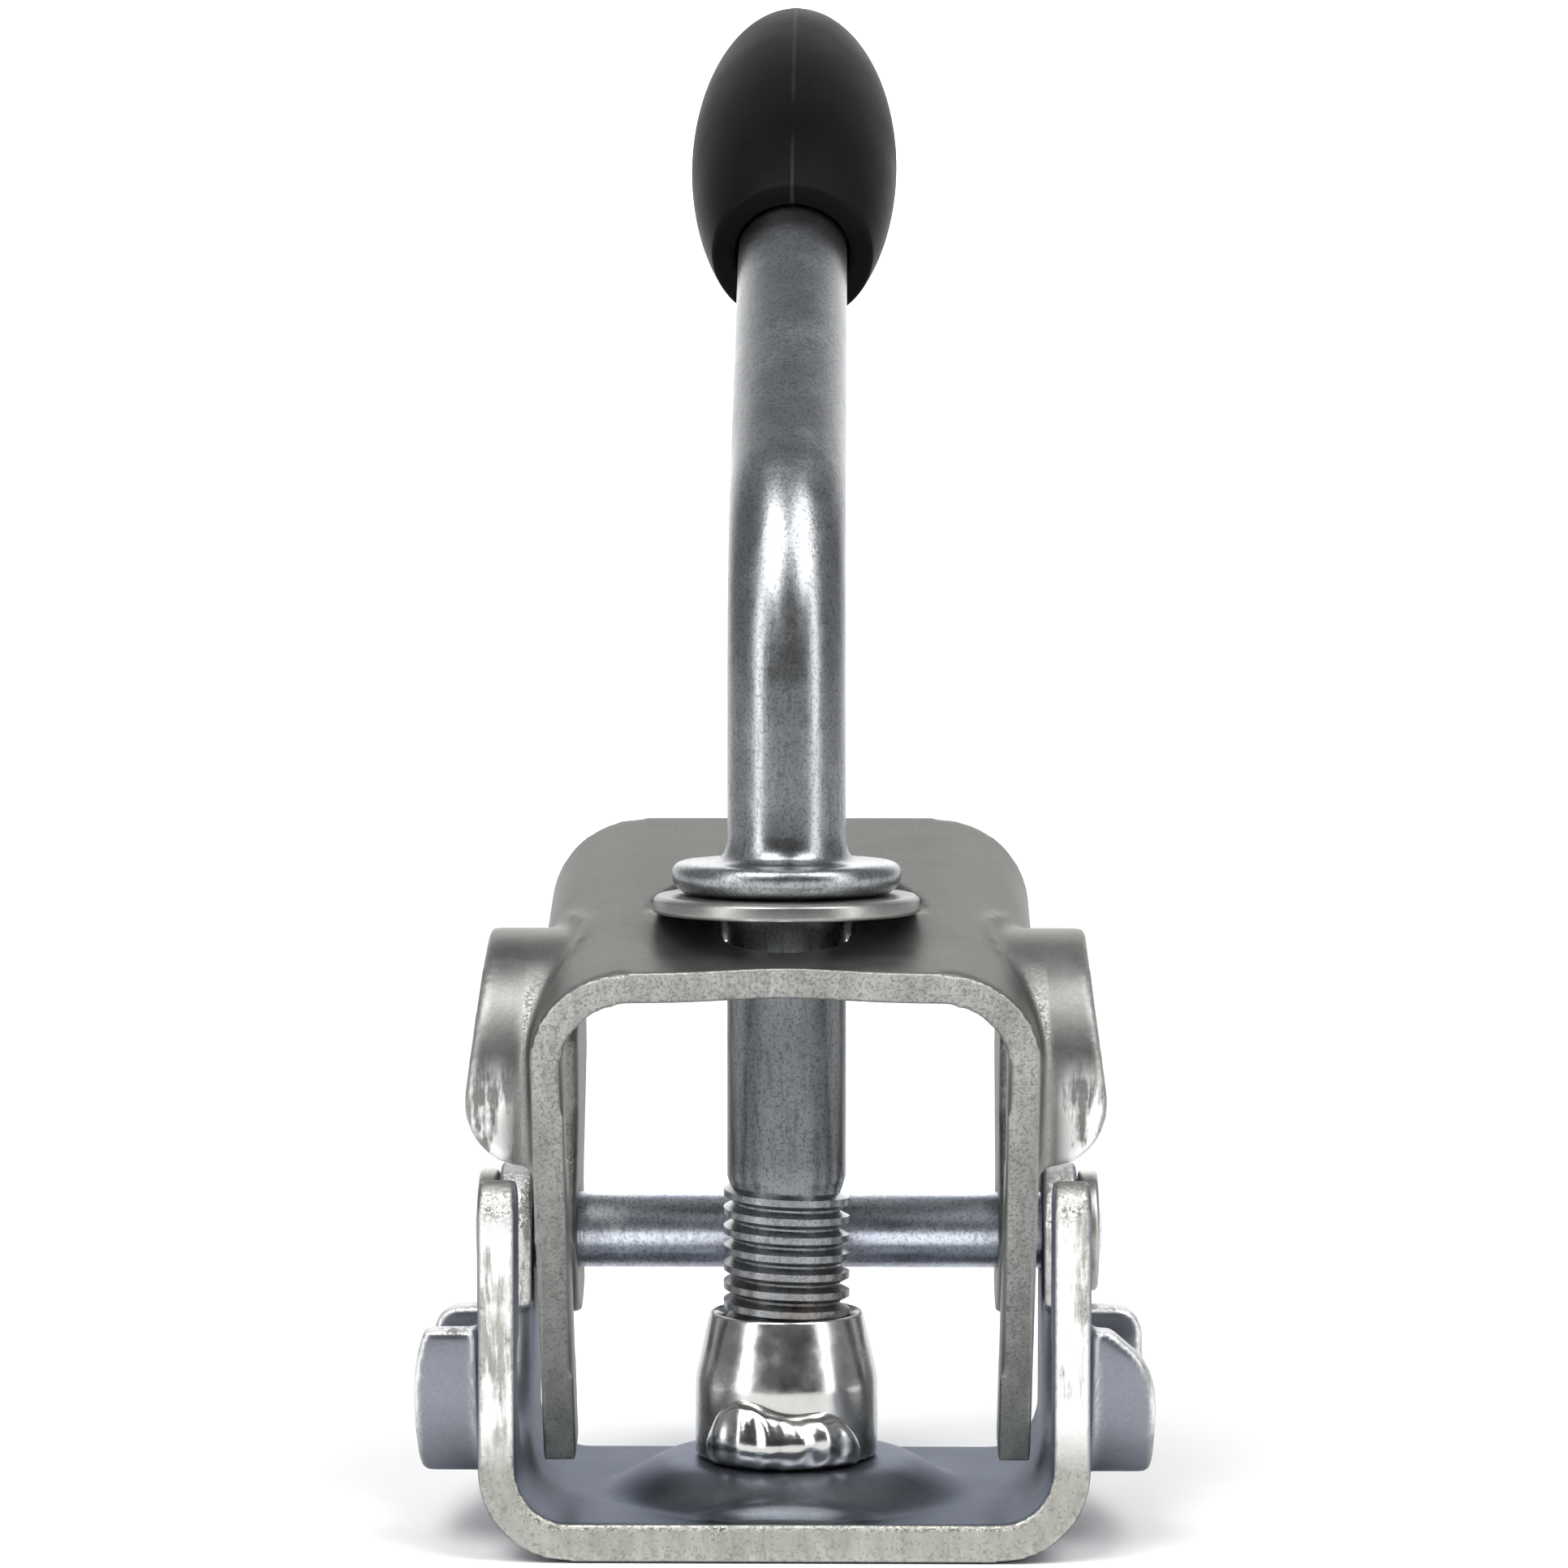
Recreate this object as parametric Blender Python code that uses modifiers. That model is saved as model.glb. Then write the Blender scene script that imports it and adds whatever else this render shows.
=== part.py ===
"""Two-jaw screw clamp that locks a trailer coupler: metres, +Z up, origin under the screw axis."""
import math

import bmesh
import bpy
from mathutils import Matrix, Vector

MM = 0.001

# Lower jaw: a U of plate, open at the top
LOWER_THICK = 5.0
LOWER_HALF = 40.0
LOWER_BEND = 12.0
LOWER_FRONT = -26.0
LOWER_BACK = 30.0
FRONT_POST_TOP = 49.5
FRONT_POST_BACK = -17.0
LOBE_Y = -2.5
LOBE_Z = 27.5
LOBE_INNER = 14.5
LOBE_OUTER = 19.3
LOBE_REACH = 48.8
LOBE_RIM_RISE = 2.2
LOWER_EYE = 9.4

# Raised seat on the base, under the nut
SEAT_FOOT = 22.5
SEAT_TOP = 15.5
SEAT_HEIGHT = 4.5

# Hinge
PIN_Y = 21.0
PIN_Z = 37.0
PIN_RADIUS = 5.25
PIN_HOLE = 5.55
PIN_HALF_LENGTH = 43.6
RETAINER_RADIUS = 8.4
RETAINER_INNER = 5.55
RETAINER_START = 40.3
RETAINER_THICK = 2.6

# Upper jaw, laid out level and then tipped about the pin: Y is depth, Z is minus the drop
UPPER_THICK = 4.5
UPPER_HALF = 34.0
UPPER_HALF_FOOT = 33.1
UPPER_BEND = 13.5
UPPER_DEPTH = 59.0
UPPER_DROP = 71.4
UPPER_TILT = 17.0
UPPER_PIN_DEPTH = 26.0
UPPER_PIN_DROP = 49.0
UPPER_LEG = 7.0
EAR_DEPTH = 21.0
EAR_DROP = 21.7
EAR_INNER = 14.0
EAR_OUTER = 18.3
EAR_REACH = 42.8
EAR_TAIL = 7.5
UPPER_EYE = 11.5
SLOT_HALF = 8.6
SLOT_FRONT = -11.0
SLOT_BACK = 16.0
POCKET_RADIUS = 19.5
POCKET_RIM = 21.5
POCKET_Z = 82.7

# Screw, washer and nut, all on the Z axis
SHANK_RADIUS = 8.0
THREAD_RADIUS = 8.5
THREAD_ROOT = 7.3
THREAD_PITCH = 2.5
THREAD_TOP = 46.6
SCREW_TIP = 12.0
WASHER_Z = 83.0
WASHER_THICK = 2.4
WASHER_RADIUS = 18.0
WASHER_HOLE = 8.6
COLLAR_Z = 85.7
COLLAR_THICK = 4.2
COLLAR_RADIUS = 15.5
NUT_FOOT = 9.8
NUT_TOP = 29.0
NUT_RADIUS = 12.3
NUT_TOP_RADIUS = 10.3
NUT_TAPER_Z = 21.3
NUT_BORE = 8.8

# Lever: a bend back and up from the screw, then a straight grip
BEND_Z = 113.0
BEND_RADIUS = 32.0
BEND_ANGLE = 57.0
GRIP_LENGTH = 63.3
KNOB_RADIUS = 15.5
KNOB_HALF_LENGTH = 41.6
KNOB_MIDDLE = 27.0
KNOB_BORE = 8.3
KNOB_BORE_DEPTH = 46.0
BAR_IN_KNOB = 44.0

RING_STEPS = 40


def clear_scene():
    for obj in list(bpy.data.objects):
        bpy.data.objects.remove(obj, do_unlink=True)


def make_collection(name):
    collection = bpy.data.collections.new(name)
    bpy.context.scene.collection.children.link(collection)
    return collection


clear_scene()
PARTS = make_collection("trailer_coupler_lock")
TOOLS = make_collection("cutters")


def make_material(name, colour, metallic, roughness):
    material = bpy.data.materials.new(name)
    material.use_nodes = True
    shader = material.node_tree.nodes["Principled BSDF"]
    shader.inputs["Base Color"].default_value = (*colour, 1.0)
    shader.inputs["Metallic"].default_value = metallic
    shader.inputs["Roughness"].default_value = roughness
    return material


def new_object(name, mesh, collection):
    obj = bpy.data.objects.new(name, mesh)
    collection.objects.link(obj)
    if collection is TOOLS:
        obj.hide_render = True
        obj.display_type = "WIRE"
    return obj


def arc(centre, radius, start, end, steps):
    """Points of an arc in its own plane, angles in degrees."""
    points = []
    for i in range(steps + 1):
        angle = math.radians(start + (end - start) * i / steps)
        points.append((centre[0] + radius * math.cos(angle), centre[1] + radius * math.sin(angle)))
    return points


def prism(name, outline, axis, start, end, collection=TOOLS):
    """A flat outline in mm pushed along X (outline in Y, Z), along Y (X, Z) or along Z (X, Y)."""
    place = {
        "X": lambda p: (start, p[0], p[1]),
        "Y": lambda p: (p[0], start, p[1]),
        "Z": lambda p: (p[0], p[1], start),
    }[axis]
    step = {"X": (1, 0, 0), "Y": (0, 1, 0), "Z": (0, 0, 1)}[axis]
    mesh = bpy.data.meshes.new(name)
    bm = bmesh.new()
    face = bm.faces.new([bm.verts.new(Vector(place(p)) * MM) for p in outline])
    grown = bmesh.ops.extrude_face_region(bm, geom=[face])
    moved = [v for v in grown["geom"] if isinstance(v, bmesh.types.BMVert)]
    bmesh.ops.translate(bm, verts=moved, vec=Vector(step) * (end - start) * MM)
    bmesh.ops.recalc_face_normals(bm, faces=bm.faces)
    bm.to_mesh(mesh)
    bm.free()
    return new_object(name, mesh, collection)


def cylinder(name, radius, bottom, top, collection=TOOLS, steps=RING_STEPS, top_radius=None):
    """A round bar or cone on the Z axis, in mm."""
    mesh = bpy.data.meshes.new(name)
    bm = bmesh.new()
    bmesh.ops.create_cone(
        bm,
        cap_ends=True,
        segments=steps,
        radius1=radius * MM,
        radius2=(radius if top_radius is None else top_radius) * MM,
        depth=(top - bottom) * MM,
        matrix=Matrix.Translation((0, 0, (top + bottom) * 0.5 * MM)),
    )
    bm.to_mesh(mesh)
    bm.free()
    return new_object(name, mesh, collection)


def move(obj, matrix):
    obj.data.transform(matrix)
    obj.data.update()
    return obj


def bake(obj):
    """Replace the object's mesh with what its modifiers make."""
    graph = bpy.context.evaluated_depsgraph_get()
    mesh = bpy.data.meshes.new_from_object(obj.evaluated_get(graph))
    obj.modifiers.clear()
    obj.data = mesh
    return obj


def combine(obj, tool, operation):
    """Boolean the tool into the object, and drop the tool."""
    modifier = obj.modifiers.new(operation.lower(), "BOOLEAN")
    modifier.operation = operation
    modifier.solver = "EXACT"
    modifier.object = tool
    bpy.context.view_layer.update()
    bake(obj)
    bpy.data.objects.remove(tool, do_unlink=True)
    return obj


def turned(name, section, collection=PARTS, steps=RING_STEPS):
    """A section of (radius, height) in mm, down the outer side, spun round Z."""
    mesh = bpy.data.meshes.new(name)
    bm = bmesh.new()
    verts = [bm.verts.new((r * MM, 0, z * MM)) for r, z in section]
    for first, second in zip(verts, verts[1:]):
        bm.edges.new((first, second))
    if section[0][0] > 0:
        bm.edges.new((verts[-1], verts[0]))
    bm.to_mesh(mesh)
    bm.free()
    obj = new_object(name, mesh, collection)
    screw = obj.modifiers.new("turn", "SCREW")
    screw.axis = "Z"
    screw.angle = math.tau
    screw.steps = steps
    screw.render_steps = steps
    screw.use_merge_vertices = True
    screw.merge_threshold = 0.00001
    screw.use_normal_calculate = True
    bpy.context.view_layer.update()
    return bake(obj)


def swept(name, rings, steps, collection=PARTS):
    """A round bar lofted through (centre, direction, radius) rings, in mm."""
    mesh = bpy.data.meshes.new(name)
    bm = bmesh.new()
    loops = []
    for centre, direction, radius in rings:
        side = Vector((1, 0, 0))
        other = Vector(direction).normalized().cross(side)
        loop = []
        for i in range(steps):
            angle = math.tau * i / steps
            offset = side * math.cos(angle) + other * math.sin(angle)
            loop.append(bm.verts.new((Vector(centre) + offset * radius) * MM))
        loops.append(loop)
    for lower, upper in zip(loops, loops[1:]):
        for i in range(steps):
            j = (i + 1) % steps
            bm.faces.new((lower[i], lower[j], upper[j], upper[i]))
    bm.faces.new(list(reversed(loops[0])))
    bm.faces.new(loops[-1])
    bmesh.ops.recalc_face_normals(bm, faces=bm.faces)
    bm.to_mesh(mesh)
    bm.free()
    return new_object(name, mesh, collection)


def finish(obj, material, smooth_degrees=35):
    """Give the part its material, tidy its mesh and smooth its round faces."""
    mesh = obj.data
    mesh.materials.clear()
    mesh.materials.append(material)
    bm = bmesh.new()
    bm.from_mesh(mesh)
    bmesh.ops.remove_doubles(bm, verts=bm.verts, dist=0.00002)
    bmesh.ops.dissolve_degenerate(bm, edges=bm.edges, dist=0.00001)
    bmesh.ops.recalc_face_normals(bm, faces=bm.faces)
    bm.to_mesh(mesh)
    bm.free()
    for face in mesh.polygons:
        face.use_smooth = True
        face.material_index = 0
    mesh.set_sharp_from_angle(angle=math.radians(smooth_degrees))
    return obj


def channel_outline(half, half_foot, height, bend, thick, steps=8):
    """A U section with its web at the top at zero, legs running down, in X and Z."""
    outer = [(-half_foot, -height)]
    outer += arc((-half + bend, -bend), bend, 180, 90, steps)
    outer += arc((half - bend, -bend), bend, 90, 0, steps)
    outer += [(half_foot, -height)]
    inner_half = half - thick
    inner_bend = bend - thick
    inner = [(half_foot - thick, -height)]
    inner += arc((inner_half - inner_bend, -bend), inner_bend, 0, 90, steps)
    inner += arc((-inner_half + inner_bend, -bend), inner_bend, 90, 180, steps)
    inner += [(-half_foot + thick, -height)]
    return outer + inner


def mirror_outline(outline):
    """Turn a section upside down."""
    return [(x, -z) for x, z in outline]


def make_lower_jaw(material):
    height = 56.0
    section = channel_outline(LOWER_HALF, LOWER_HALF, height, LOWER_BEND, LOWER_THICK)
    jaw = prism("lower_jaw", mirror_outline(section), "Y", LOWER_FRONT, LOWER_BACK, PARTS)
    side = [(LOWER_FRONT, -2), (LOWER_BACK, -2)]
    side += [(LOWER_BACK, PIN_Z)]
    side += arc((PIN_Y, PIN_Z), LOWER_EYE, 10, 170, 14)
    side += [(LOBE_Y + LOBE_INNER, PIN_Z - 4)]
    side += arc((LOBE_Y, LOBE_Z), LOBE_INNER, 0, -180, 20)
    side += [(FRONT_POST_BACK, FRONT_POST_TOP - 4)]
    side += arc((FRONT_POST_BACK - 4, FRONT_POST_TOP - 4), 4, 20, 90, 4)
    side += arc((LOWER_FRONT + 4, FRONT_POST_TOP - 4), 4, 90, 180, 4)
    combine(jaw, prism("side_outline", side, "X", -60, 60), "INTERSECT")
    lobe = [(LOBE_Y - LOBE_OUTER, LOBE_Z + LOBE_RIM_RISE)]
    lobe += arc((LOBE_Y, LOBE_Z), LOBE_OUTER, 180, 360, 22)
    lobe += arc((LOBE_Y, LOBE_Z), LOBE_INNER, 360, 180, 20)
    lobe += [(LOBE_Y - LOBE_INNER, LOBE_Z + LOBE_RIM_RISE)]
    for side_sign in (-1, 1):
        start, end = sorted((side_sign * 36.0, side_sign * LOBE_REACH))
        combine(jaw, prism("lobe", lobe, "X", start, end), "UNION")
    seat = cylinder("seat", SEAT_FOOT, LOWER_THICK - 1, LOWER_THICK + SEAT_HEIGHT, top_radius=SEAT_TOP)
    combine(jaw, seat, "UNION")
    hole = arc((PIN_Y, PIN_Z), PIN_HOLE, 0, 360, 28)[:-1]
    combine(jaw, prism("pin_hole", hole, "X", -60, 60), "DIFFERENCE")
    return finish(jaw, material)


def tip_upper_jaw():
    """From the level layout to the tipped place about the pin."""
    to_pin = Matrix.Translation((0, -UPPER_PIN_DEPTH * MM, UPPER_PIN_DROP * MM))
    turn = Matrix.Rotation(math.radians(UPPER_TILT), 4, "X")
    back = Matrix.Translation((0, PIN_Y * MM, PIN_Z * MM))
    return back @ turn @ to_pin


def make_upper_jaw(material):
    section = channel_outline(UPPER_HALF, UPPER_HALF_FOOT, UPPER_DROP, UPPER_BEND, UPPER_THICK)
    jaw = prism("upper_jaw", section, "Y", 0, UPPER_DEPTH, PARTS)
    side = [(0, 2), (UPPER_DEPTH, 2), (UPPER_DEPTH, -22)]
    side += [(UPPER_DEPTH - 4, -34)]
    side += arc((UPPER_PIN_DEPTH, -UPPER_PIN_DROP), UPPER_EYE, 10, -150, 14)
    side += [(UPPER_PIN_DEPTH - UPPER_EYE + 1, -UPPER_PIN_DROP + 3)]
    side += [(EAR_DEPTH + EAR_INNER - 4, -EAR_DROP - 12)]
    side += arc((EAR_DEPTH, -EAR_DROP), EAR_INNER, 0, 180, 20)
    side += [(UPPER_LEG, -UPPER_DROP - 2), (0, -UPPER_DROP - 2)]
    combine(jaw, prism("side_outline", side, "X", -60, 60), "INTERSECT")
    ear = arc((EAR_DEPTH, -EAR_DROP), EAR_OUTER, 0, 180, 22)
    ear += [(EAR_DEPTH - EAR_OUTER, -EAR_DROP - EAR_TAIL), (UPPER_LEG, -EAR_DROP - EAR_TAIL)]
    ear += arc((EAR_DEPTH, -EAR_DROP), EAR_INNER, 180, 0, 20)
    for side_sign in (-1, 1):
        start, end = sorted((side_sign * 30.2, side_sign * EAR_REACH))
        combine(jaw, prism("ear", ear, "X", start, end), "UNION")
    hole = arc((UPPER_PIN_DEPTH, -UPPER_PIN_DROP), PIN_HOLE, 0, 360, 28)[:-1]
    combine(jaw, prism("pin_hole", hole, "X", -60, 60), "DIFFERENCE")
    move(jaw, tip_upper_jaw())
    pocket = cylinder("pocket_floor", POCKET_RIM, POCKET_Z - UPPER_THICK, POCKET_Z)
    below_web = prism("below_web", [(-20, -40), (80, -40), (80, 0), (-20, 0)], "X", -40, 40)
    move(below_web, tip_upper_jaw())
    combine(pocket, below_web, "INTERSECT")
    combine(jaw, pocket, "UNION")
    combine(jaw, cylinder("pocket", POCKET_RADIUS, POCKET_Z, POCKET_Z + 16), "DIFFERENCE")
    slot = arc((0, SLOT_BACK - SLOT_HALF), SLOT_HALF, 0, 180, 16)
    slot += arc((0, SLOT_FRONT + SLOT_HALF), SLOT_HALF, 180, 360, 16)
    combine(jaw, prism("slot", slot, "Z", 60, 110), "DIFFERENCE")
    return finish(jaw, material)


def bar_rings():
    """Centres, directions and radii from the screw's tip to the end of the lever."""
    up = (0, 0, 1)
    rings = [((0, 0, SCREW_TIP), up, THREAD_ROOT - 1)]
    z = SCREW_TIP + 1.5
    while z + THREAD_PITCH < THREAD_TOP:
        rings.append(((0, 0, z), up, THREAD_ROOT))
        rings.append(((0, 0, z + 0.9), up, THREAD_RADIUS))
        rings.append(((0, 0, z + 1.3), up, THREAD_RADIUS))
        rings.append(((0, 0, z + 2.2), up, THREAD_ROOT))
        z += THREAD_PITCH
    rings.append(((0, 0, THREAD_TOP), up, SHANK_RADIUS))
    collar_top = COLLAR_Z + COLLAR_THICK
    shape = [
        (COLLAR_Z, SHANK_RADIUS),
        (COLLAR_Z, COLLAR_RADIUS - 1.2),
        (COLLAR_Z + 1.0, COLLAR_RADIUS - 0.2),
        (COLLAR_Z + 2.2, COLLAR_RADIUS),
        (collar_top - 0.7, COLLAR_RADIUS - 0.4),
        (collar_top, COLLAR_RADIUS - 1.6),
        (collar_top, SHANK_RADIUS + 1.0),
        (collar_top + 1.0, SHANK_RADIUS),
        (BEND_Z, SHANK_RADIUS),
    ]
    rings += [((0, 0, height), up, radius) for height, radius in shape]
    steps = 10
    for i in range(1, steps + 1):
        angle = math.radians(BEND_ANGLE * i / steps)
        centre = (0, BEND_RADIUS * (1 - math.cos(angle)), BEND_Z + BEND_RADIUS * math.sin(angle))
        rings.append((centre, (0, math.sin(angle), math.cos(angle)), SHANK_RADIUS))
    end = Vector(rings[-1][0])
    along = Vector(rings[-1][1])
    rings.append((end + along * (GRIP_LENGTH + BAR_IN_KNOB - 1), along, SHANK_RADIUS))
    rings.append((end + along * (GRIP_LENGTH + BAR_IN_KNOB), along, SHANK_RADIUS - 1))
    return rings, end, along


def make_knob(material, grip_end, along):
    mouth_angle = 90 + math.degrees(math.asin(KNOB_MIDDLE / KNOB_HALF_LENGTH))
    section = []
    for i in range(17):
        angle = math.radians(mouth_angle * i / 16)
        height = KNOB_MIDDLE + KNOB_HALF_LENGTH * math.cos(angle)
        section.append((KNOB_RADIUS * math.sin(angle), max(0.0, height)))
    section += [(KNOB_BORE, 0.0), (KNOB_BORE, KNOB_BORE_DEPTH), (0, KNOB_BORE_DEPTH)]
    knob = turned("knob", section)
    tip = Vector((0, 0, 1)).rotation_difference(along).to_matrix().to_4x4()
    move(knob, Matrix.Translation(grip_end * MM) @ tip)
    return finish(knob, material, 50)


def make_weld(name, material, centre, size, turn):
    """A blob of weld at the nut's foot, trimmed clear of the nut and the seat."""
    mesh = bpy.data.meshes.new(name)
    bm = bmesh.new()
    bmesh.ops.create_uvsphere(bm, u_segments=20, v_segments=12, radius=MM)
    bmesh.ops.scale(bm, verts=bm.verts, vec=size)
    bmesh.ops.translate(bm, verts=bm.verts, vec=Vector(centre) * MM)
    bmesh.ops.rotate(bm, verts=bm.verts, matrix=Matrix.Rotation(math.radians(turn), 3, "Z"))
    bm.to_mesh(mesh)
    bm.free()
    weld = new_object(name, mesh, PARTS)
    combine(weld, cylinder("nut_side", NUT_RADIUS + 0.25, 0, 60, steps=48), "DIFFERENCE")
    seat_cone = cylinder(
        "seat_gap", SEAT_FOOT + 0.3, LOWER_THICK - 1, LOWER_THICK + SEAT_HEIGHT + 0.25,
        top_radius=SEAT_TOP + 0.3,
    )
    combine(weld, seat_cone, "DIFFERENCE")
    return finish(weld, material)


def make_pin_parts(pin_material, retainer_material):
    chamfer = 0.8
    section = [
        (0, PIN_HALF_LENGTH), (PIN_RADIUS - chamfer, PIN_HALF_LENGTH),
        (PIN_RADIUS, PIN_HALF_LENGTH - chamfer), (PIN_RADIUS, -PIN_HALF_LENGTH + chamfer),
        (PIN_RADIUS - chamfer, -PIN_HALF_LENGTH), (0, -PIN_HALF_LENGTH),
    ]
    place = Matrix.Translation((0, PIN_Y * MM, PIN_Z * MM)) @ Matrix.Rotation(math.pi / 2, 4, "Y")
    finish(move(turned("hinge_pin", section, steps=28), place), pin_material)
    top = RETAINER_START + RETAINER_THICK
    ring = [
        (RETAINER_RADIUS - 0.6, top), (RETAINER_RADIUS, top - 0.6), (RETAINER_RADIUS, RETAINER_START),
        (RETAINER_INNER, RETAINER_START), (RETAINER_INNER, top),
    ]
    finish(move(turned("retainer_right", ring, steps=28), place), retainer_material)
    flip = Matrix.Rotation(math.pi, 4, "Z")
    across = Matrix.Translation((0, PIN_Y * MM, PIN_Z * MM)) @ flip @ Matrix.Rotation(math.pi / 2, 4, "Y")
    finish(move(turned("retainer_left", ring, steps=28), across), retainer_material)


def main():
    grey = (0.46, 0.46, 0.45)
    blue_grey = (0.42, 0.44, 0.48)
    upper = make_material("upper_jaw_zinc", grey, 1.0, 0.45)
    lower = make_material("lower_jaw_zinc", blue_grey, 1.0, 0.38)
    bar = make_material("screw_zinc", (0.5, 0.5, 0.5), 1.0, 0.32)
    plastic = make_material("knob_plastic", (0.015, 0.015, 0.017), 0.0, 0.45)
    washer_metal = make_material("washer_zinc", (0.52, 0.52, 0.51), 1.0, 0.4)
    nut_metal = make_material("nut_steel", (0.6, 0.6, 0.6), 1.0, 0.2)
    weld_metal = make_material("weld_steel", (0.55, 0.54, 0.52), 1.0, 0.28)
    pin_metal = make_material("pin_zinc", blue_grey, 1.0, 0.34)
    retainer_metal = make_material("retainer_zinc", (0.5, 0.49, 0.46), 1.0, 0.42)

    make_lower_jaw(lower)
    make_upper_jaw(upper)
    make_pin_parts(pin_metal, retainer_metal)

    rings, grip_start, along = bar_rings()
    finish(swept("screw_lever", rings, 28), bar)
    make_knob(plastic, grip_start + along * GRIP_LENGTH, along)

    washer_top = WASHER_Z + WASHER_THICK
    washer = [
        (WASHER_RADIUS - 0.4, washer_top), (WASHER_RADIUS, washer_top - 0.4), (WASHER_RADIUS, WASHER_Z),
        (WASHER_HOLE, WASHER_Z), (WASHER_HOLE, washer_top),
    ]
    finish(turned("thrust_washer", washer, steps=48), washer_metal)
    nut = [
        (NUT_TOP_RADIUS, NUT_TOP), (NUT_RADIUS - 0.2, NUT_TAPER_Z), (NUT_RADIUS, NUT_TAPER_Z - 2),
        (NUT_RADIUS, NUT_FOOT), (NUT_BORE, NUT_FOOT), (NUT_BORE, NUT_TOP),
    ]
    finish(turned("weld_nut", nut, steps=48), nut_metal)
    make_weld("weld_bead_front", weld_metal, (0, -13.2, 12.0), (10.5, 4.6, 6.0), 2)
    make_weld("weld_bead_rear", weld_metal, (0, 13.0, 11.5), (6.0, 3.8, 4.2), -38)


main()
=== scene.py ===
"""Looks of a hinged screw clamp that locks a trailer coupler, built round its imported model."""
import math

import bmesh
import bpy
from bpy.props import FloatProperty, FloatVectorProperty, IntProperty, PointerProperty
from mathutils import Matrix, Vector, noise


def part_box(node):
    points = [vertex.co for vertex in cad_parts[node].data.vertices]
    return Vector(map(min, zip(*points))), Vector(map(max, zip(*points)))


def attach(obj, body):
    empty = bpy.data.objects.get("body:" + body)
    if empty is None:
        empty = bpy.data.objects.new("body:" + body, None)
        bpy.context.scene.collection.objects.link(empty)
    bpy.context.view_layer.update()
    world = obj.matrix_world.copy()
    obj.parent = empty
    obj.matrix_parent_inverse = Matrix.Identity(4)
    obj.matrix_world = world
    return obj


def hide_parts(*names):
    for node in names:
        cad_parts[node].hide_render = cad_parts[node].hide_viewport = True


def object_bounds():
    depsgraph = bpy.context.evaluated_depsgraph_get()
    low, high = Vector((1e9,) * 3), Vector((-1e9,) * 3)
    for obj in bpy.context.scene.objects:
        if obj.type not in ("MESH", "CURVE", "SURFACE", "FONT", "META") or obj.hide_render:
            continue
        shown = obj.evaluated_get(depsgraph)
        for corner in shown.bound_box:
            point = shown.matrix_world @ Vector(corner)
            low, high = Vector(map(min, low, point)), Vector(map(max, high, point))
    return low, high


bl_info = {
    "name": "Coupler Screw Clamp",
    "version": (1, 0, 0),
    "blender": (4, 5, 0),
    "location": "3D View > Sidebar > Clamp",
    "description": "Builds the visible pieces of a hinged screw clamp",
    "category": "Object",
}

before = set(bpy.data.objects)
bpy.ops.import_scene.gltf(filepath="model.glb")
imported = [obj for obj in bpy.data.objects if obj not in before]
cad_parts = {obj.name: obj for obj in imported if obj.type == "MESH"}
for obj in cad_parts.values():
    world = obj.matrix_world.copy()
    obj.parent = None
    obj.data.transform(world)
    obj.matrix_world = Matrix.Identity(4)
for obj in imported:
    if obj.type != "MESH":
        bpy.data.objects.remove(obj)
CAD_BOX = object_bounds()

MM = 0.001

LOWER_LOW, LOWER_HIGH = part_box("lower_jaw")
PIN_LOW, PIN_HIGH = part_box("hinge_pin")
RING_LOW, RING_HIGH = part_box("retainer_right")
WASHER_LOW, WASHER_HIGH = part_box("thrust_washer")
NUT_LOW, NUT_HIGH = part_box("weld_nut")
SCREW_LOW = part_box("screw_lever")[0]
PIN_CENTRE = (PIN_LOW + PIN_HIGH) / 2
PIN_RADIUS = (PIN_HIGH.z - PIN_LOW.z) / 2
PIN_SIDE = (PIN_CENTRE.y / MM, PIN_CENTRE.z / MM)
LOWER_FRONT, LOWER_BACK = LOWER_LOW.y / MM, LOWER_HIGH.y / MM


# Sizes and colours a user would change

def length_property(label, description, millimetres, precision=4):
    return FloatProperty(name=label, description=description, default=millimetres * MM,
                         unit="LENGTH", precision=precision)


def angle_property(label, description, degrees):
    return FloatProperty(name=label, description=description, default=math.radians(degrees),
                         subtype="ANGLE")


def colour_property(label, description, value):
    return FloatVectorProperty(name=label, description=description, default=value, subtype="COLOR")


class JawSizes(bpy.types.PropertyGroup):
    lower_thick: length_property("Lower plate", "Thickness of the lower jaw's plate", 5.0)
    upper_thick: length_property("Upper plate", "Thickness of the upper jaw's plate", 4.5)
    upper_tilt: angle_property("Upper jaw tilt", "How far the upper jaw leans forward and down", 17)
    skin: length_property("Skin cell", "Cell size of the pressed plates' skin", 0.6, 5)
    flange_root: length_property("Flange root", "Radius where a plate turns out into its flange", 4.2)


class ScrewSizes(bpy.types.PropertyGroup):
    shank: length_property("Bar radius", "Radius of the plain bar", 8.0)
    thread_root: length_property("Thread root", "Radius at the bottom of the thread", 7.25)
    thread_crest: length_property("Thread crest", "Radius at the top of the thread", 8.5)
    pitch: length_property("Pitch", "Rise of the thread in one turn", 2.5)
    thread_top: length_property("Thread top", "Height where the thread ends", 46.6)
    bend_start: length_property("Bend start", "Height where the bar starts to bend", 113.0)
    bend_radius: length_property("Bend radius", "Radius of the bend along the bar's middle", 32.0)
    bend_angle: angle_property("Bend angle", "How far the bar turns back", 57)
    grip_length: length_property("Grip length", "Straight bar between the bend and the knob", 63.3)
    steps: IntProperty(name="Round steps", description="Faces round the bar", default=64)


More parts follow.
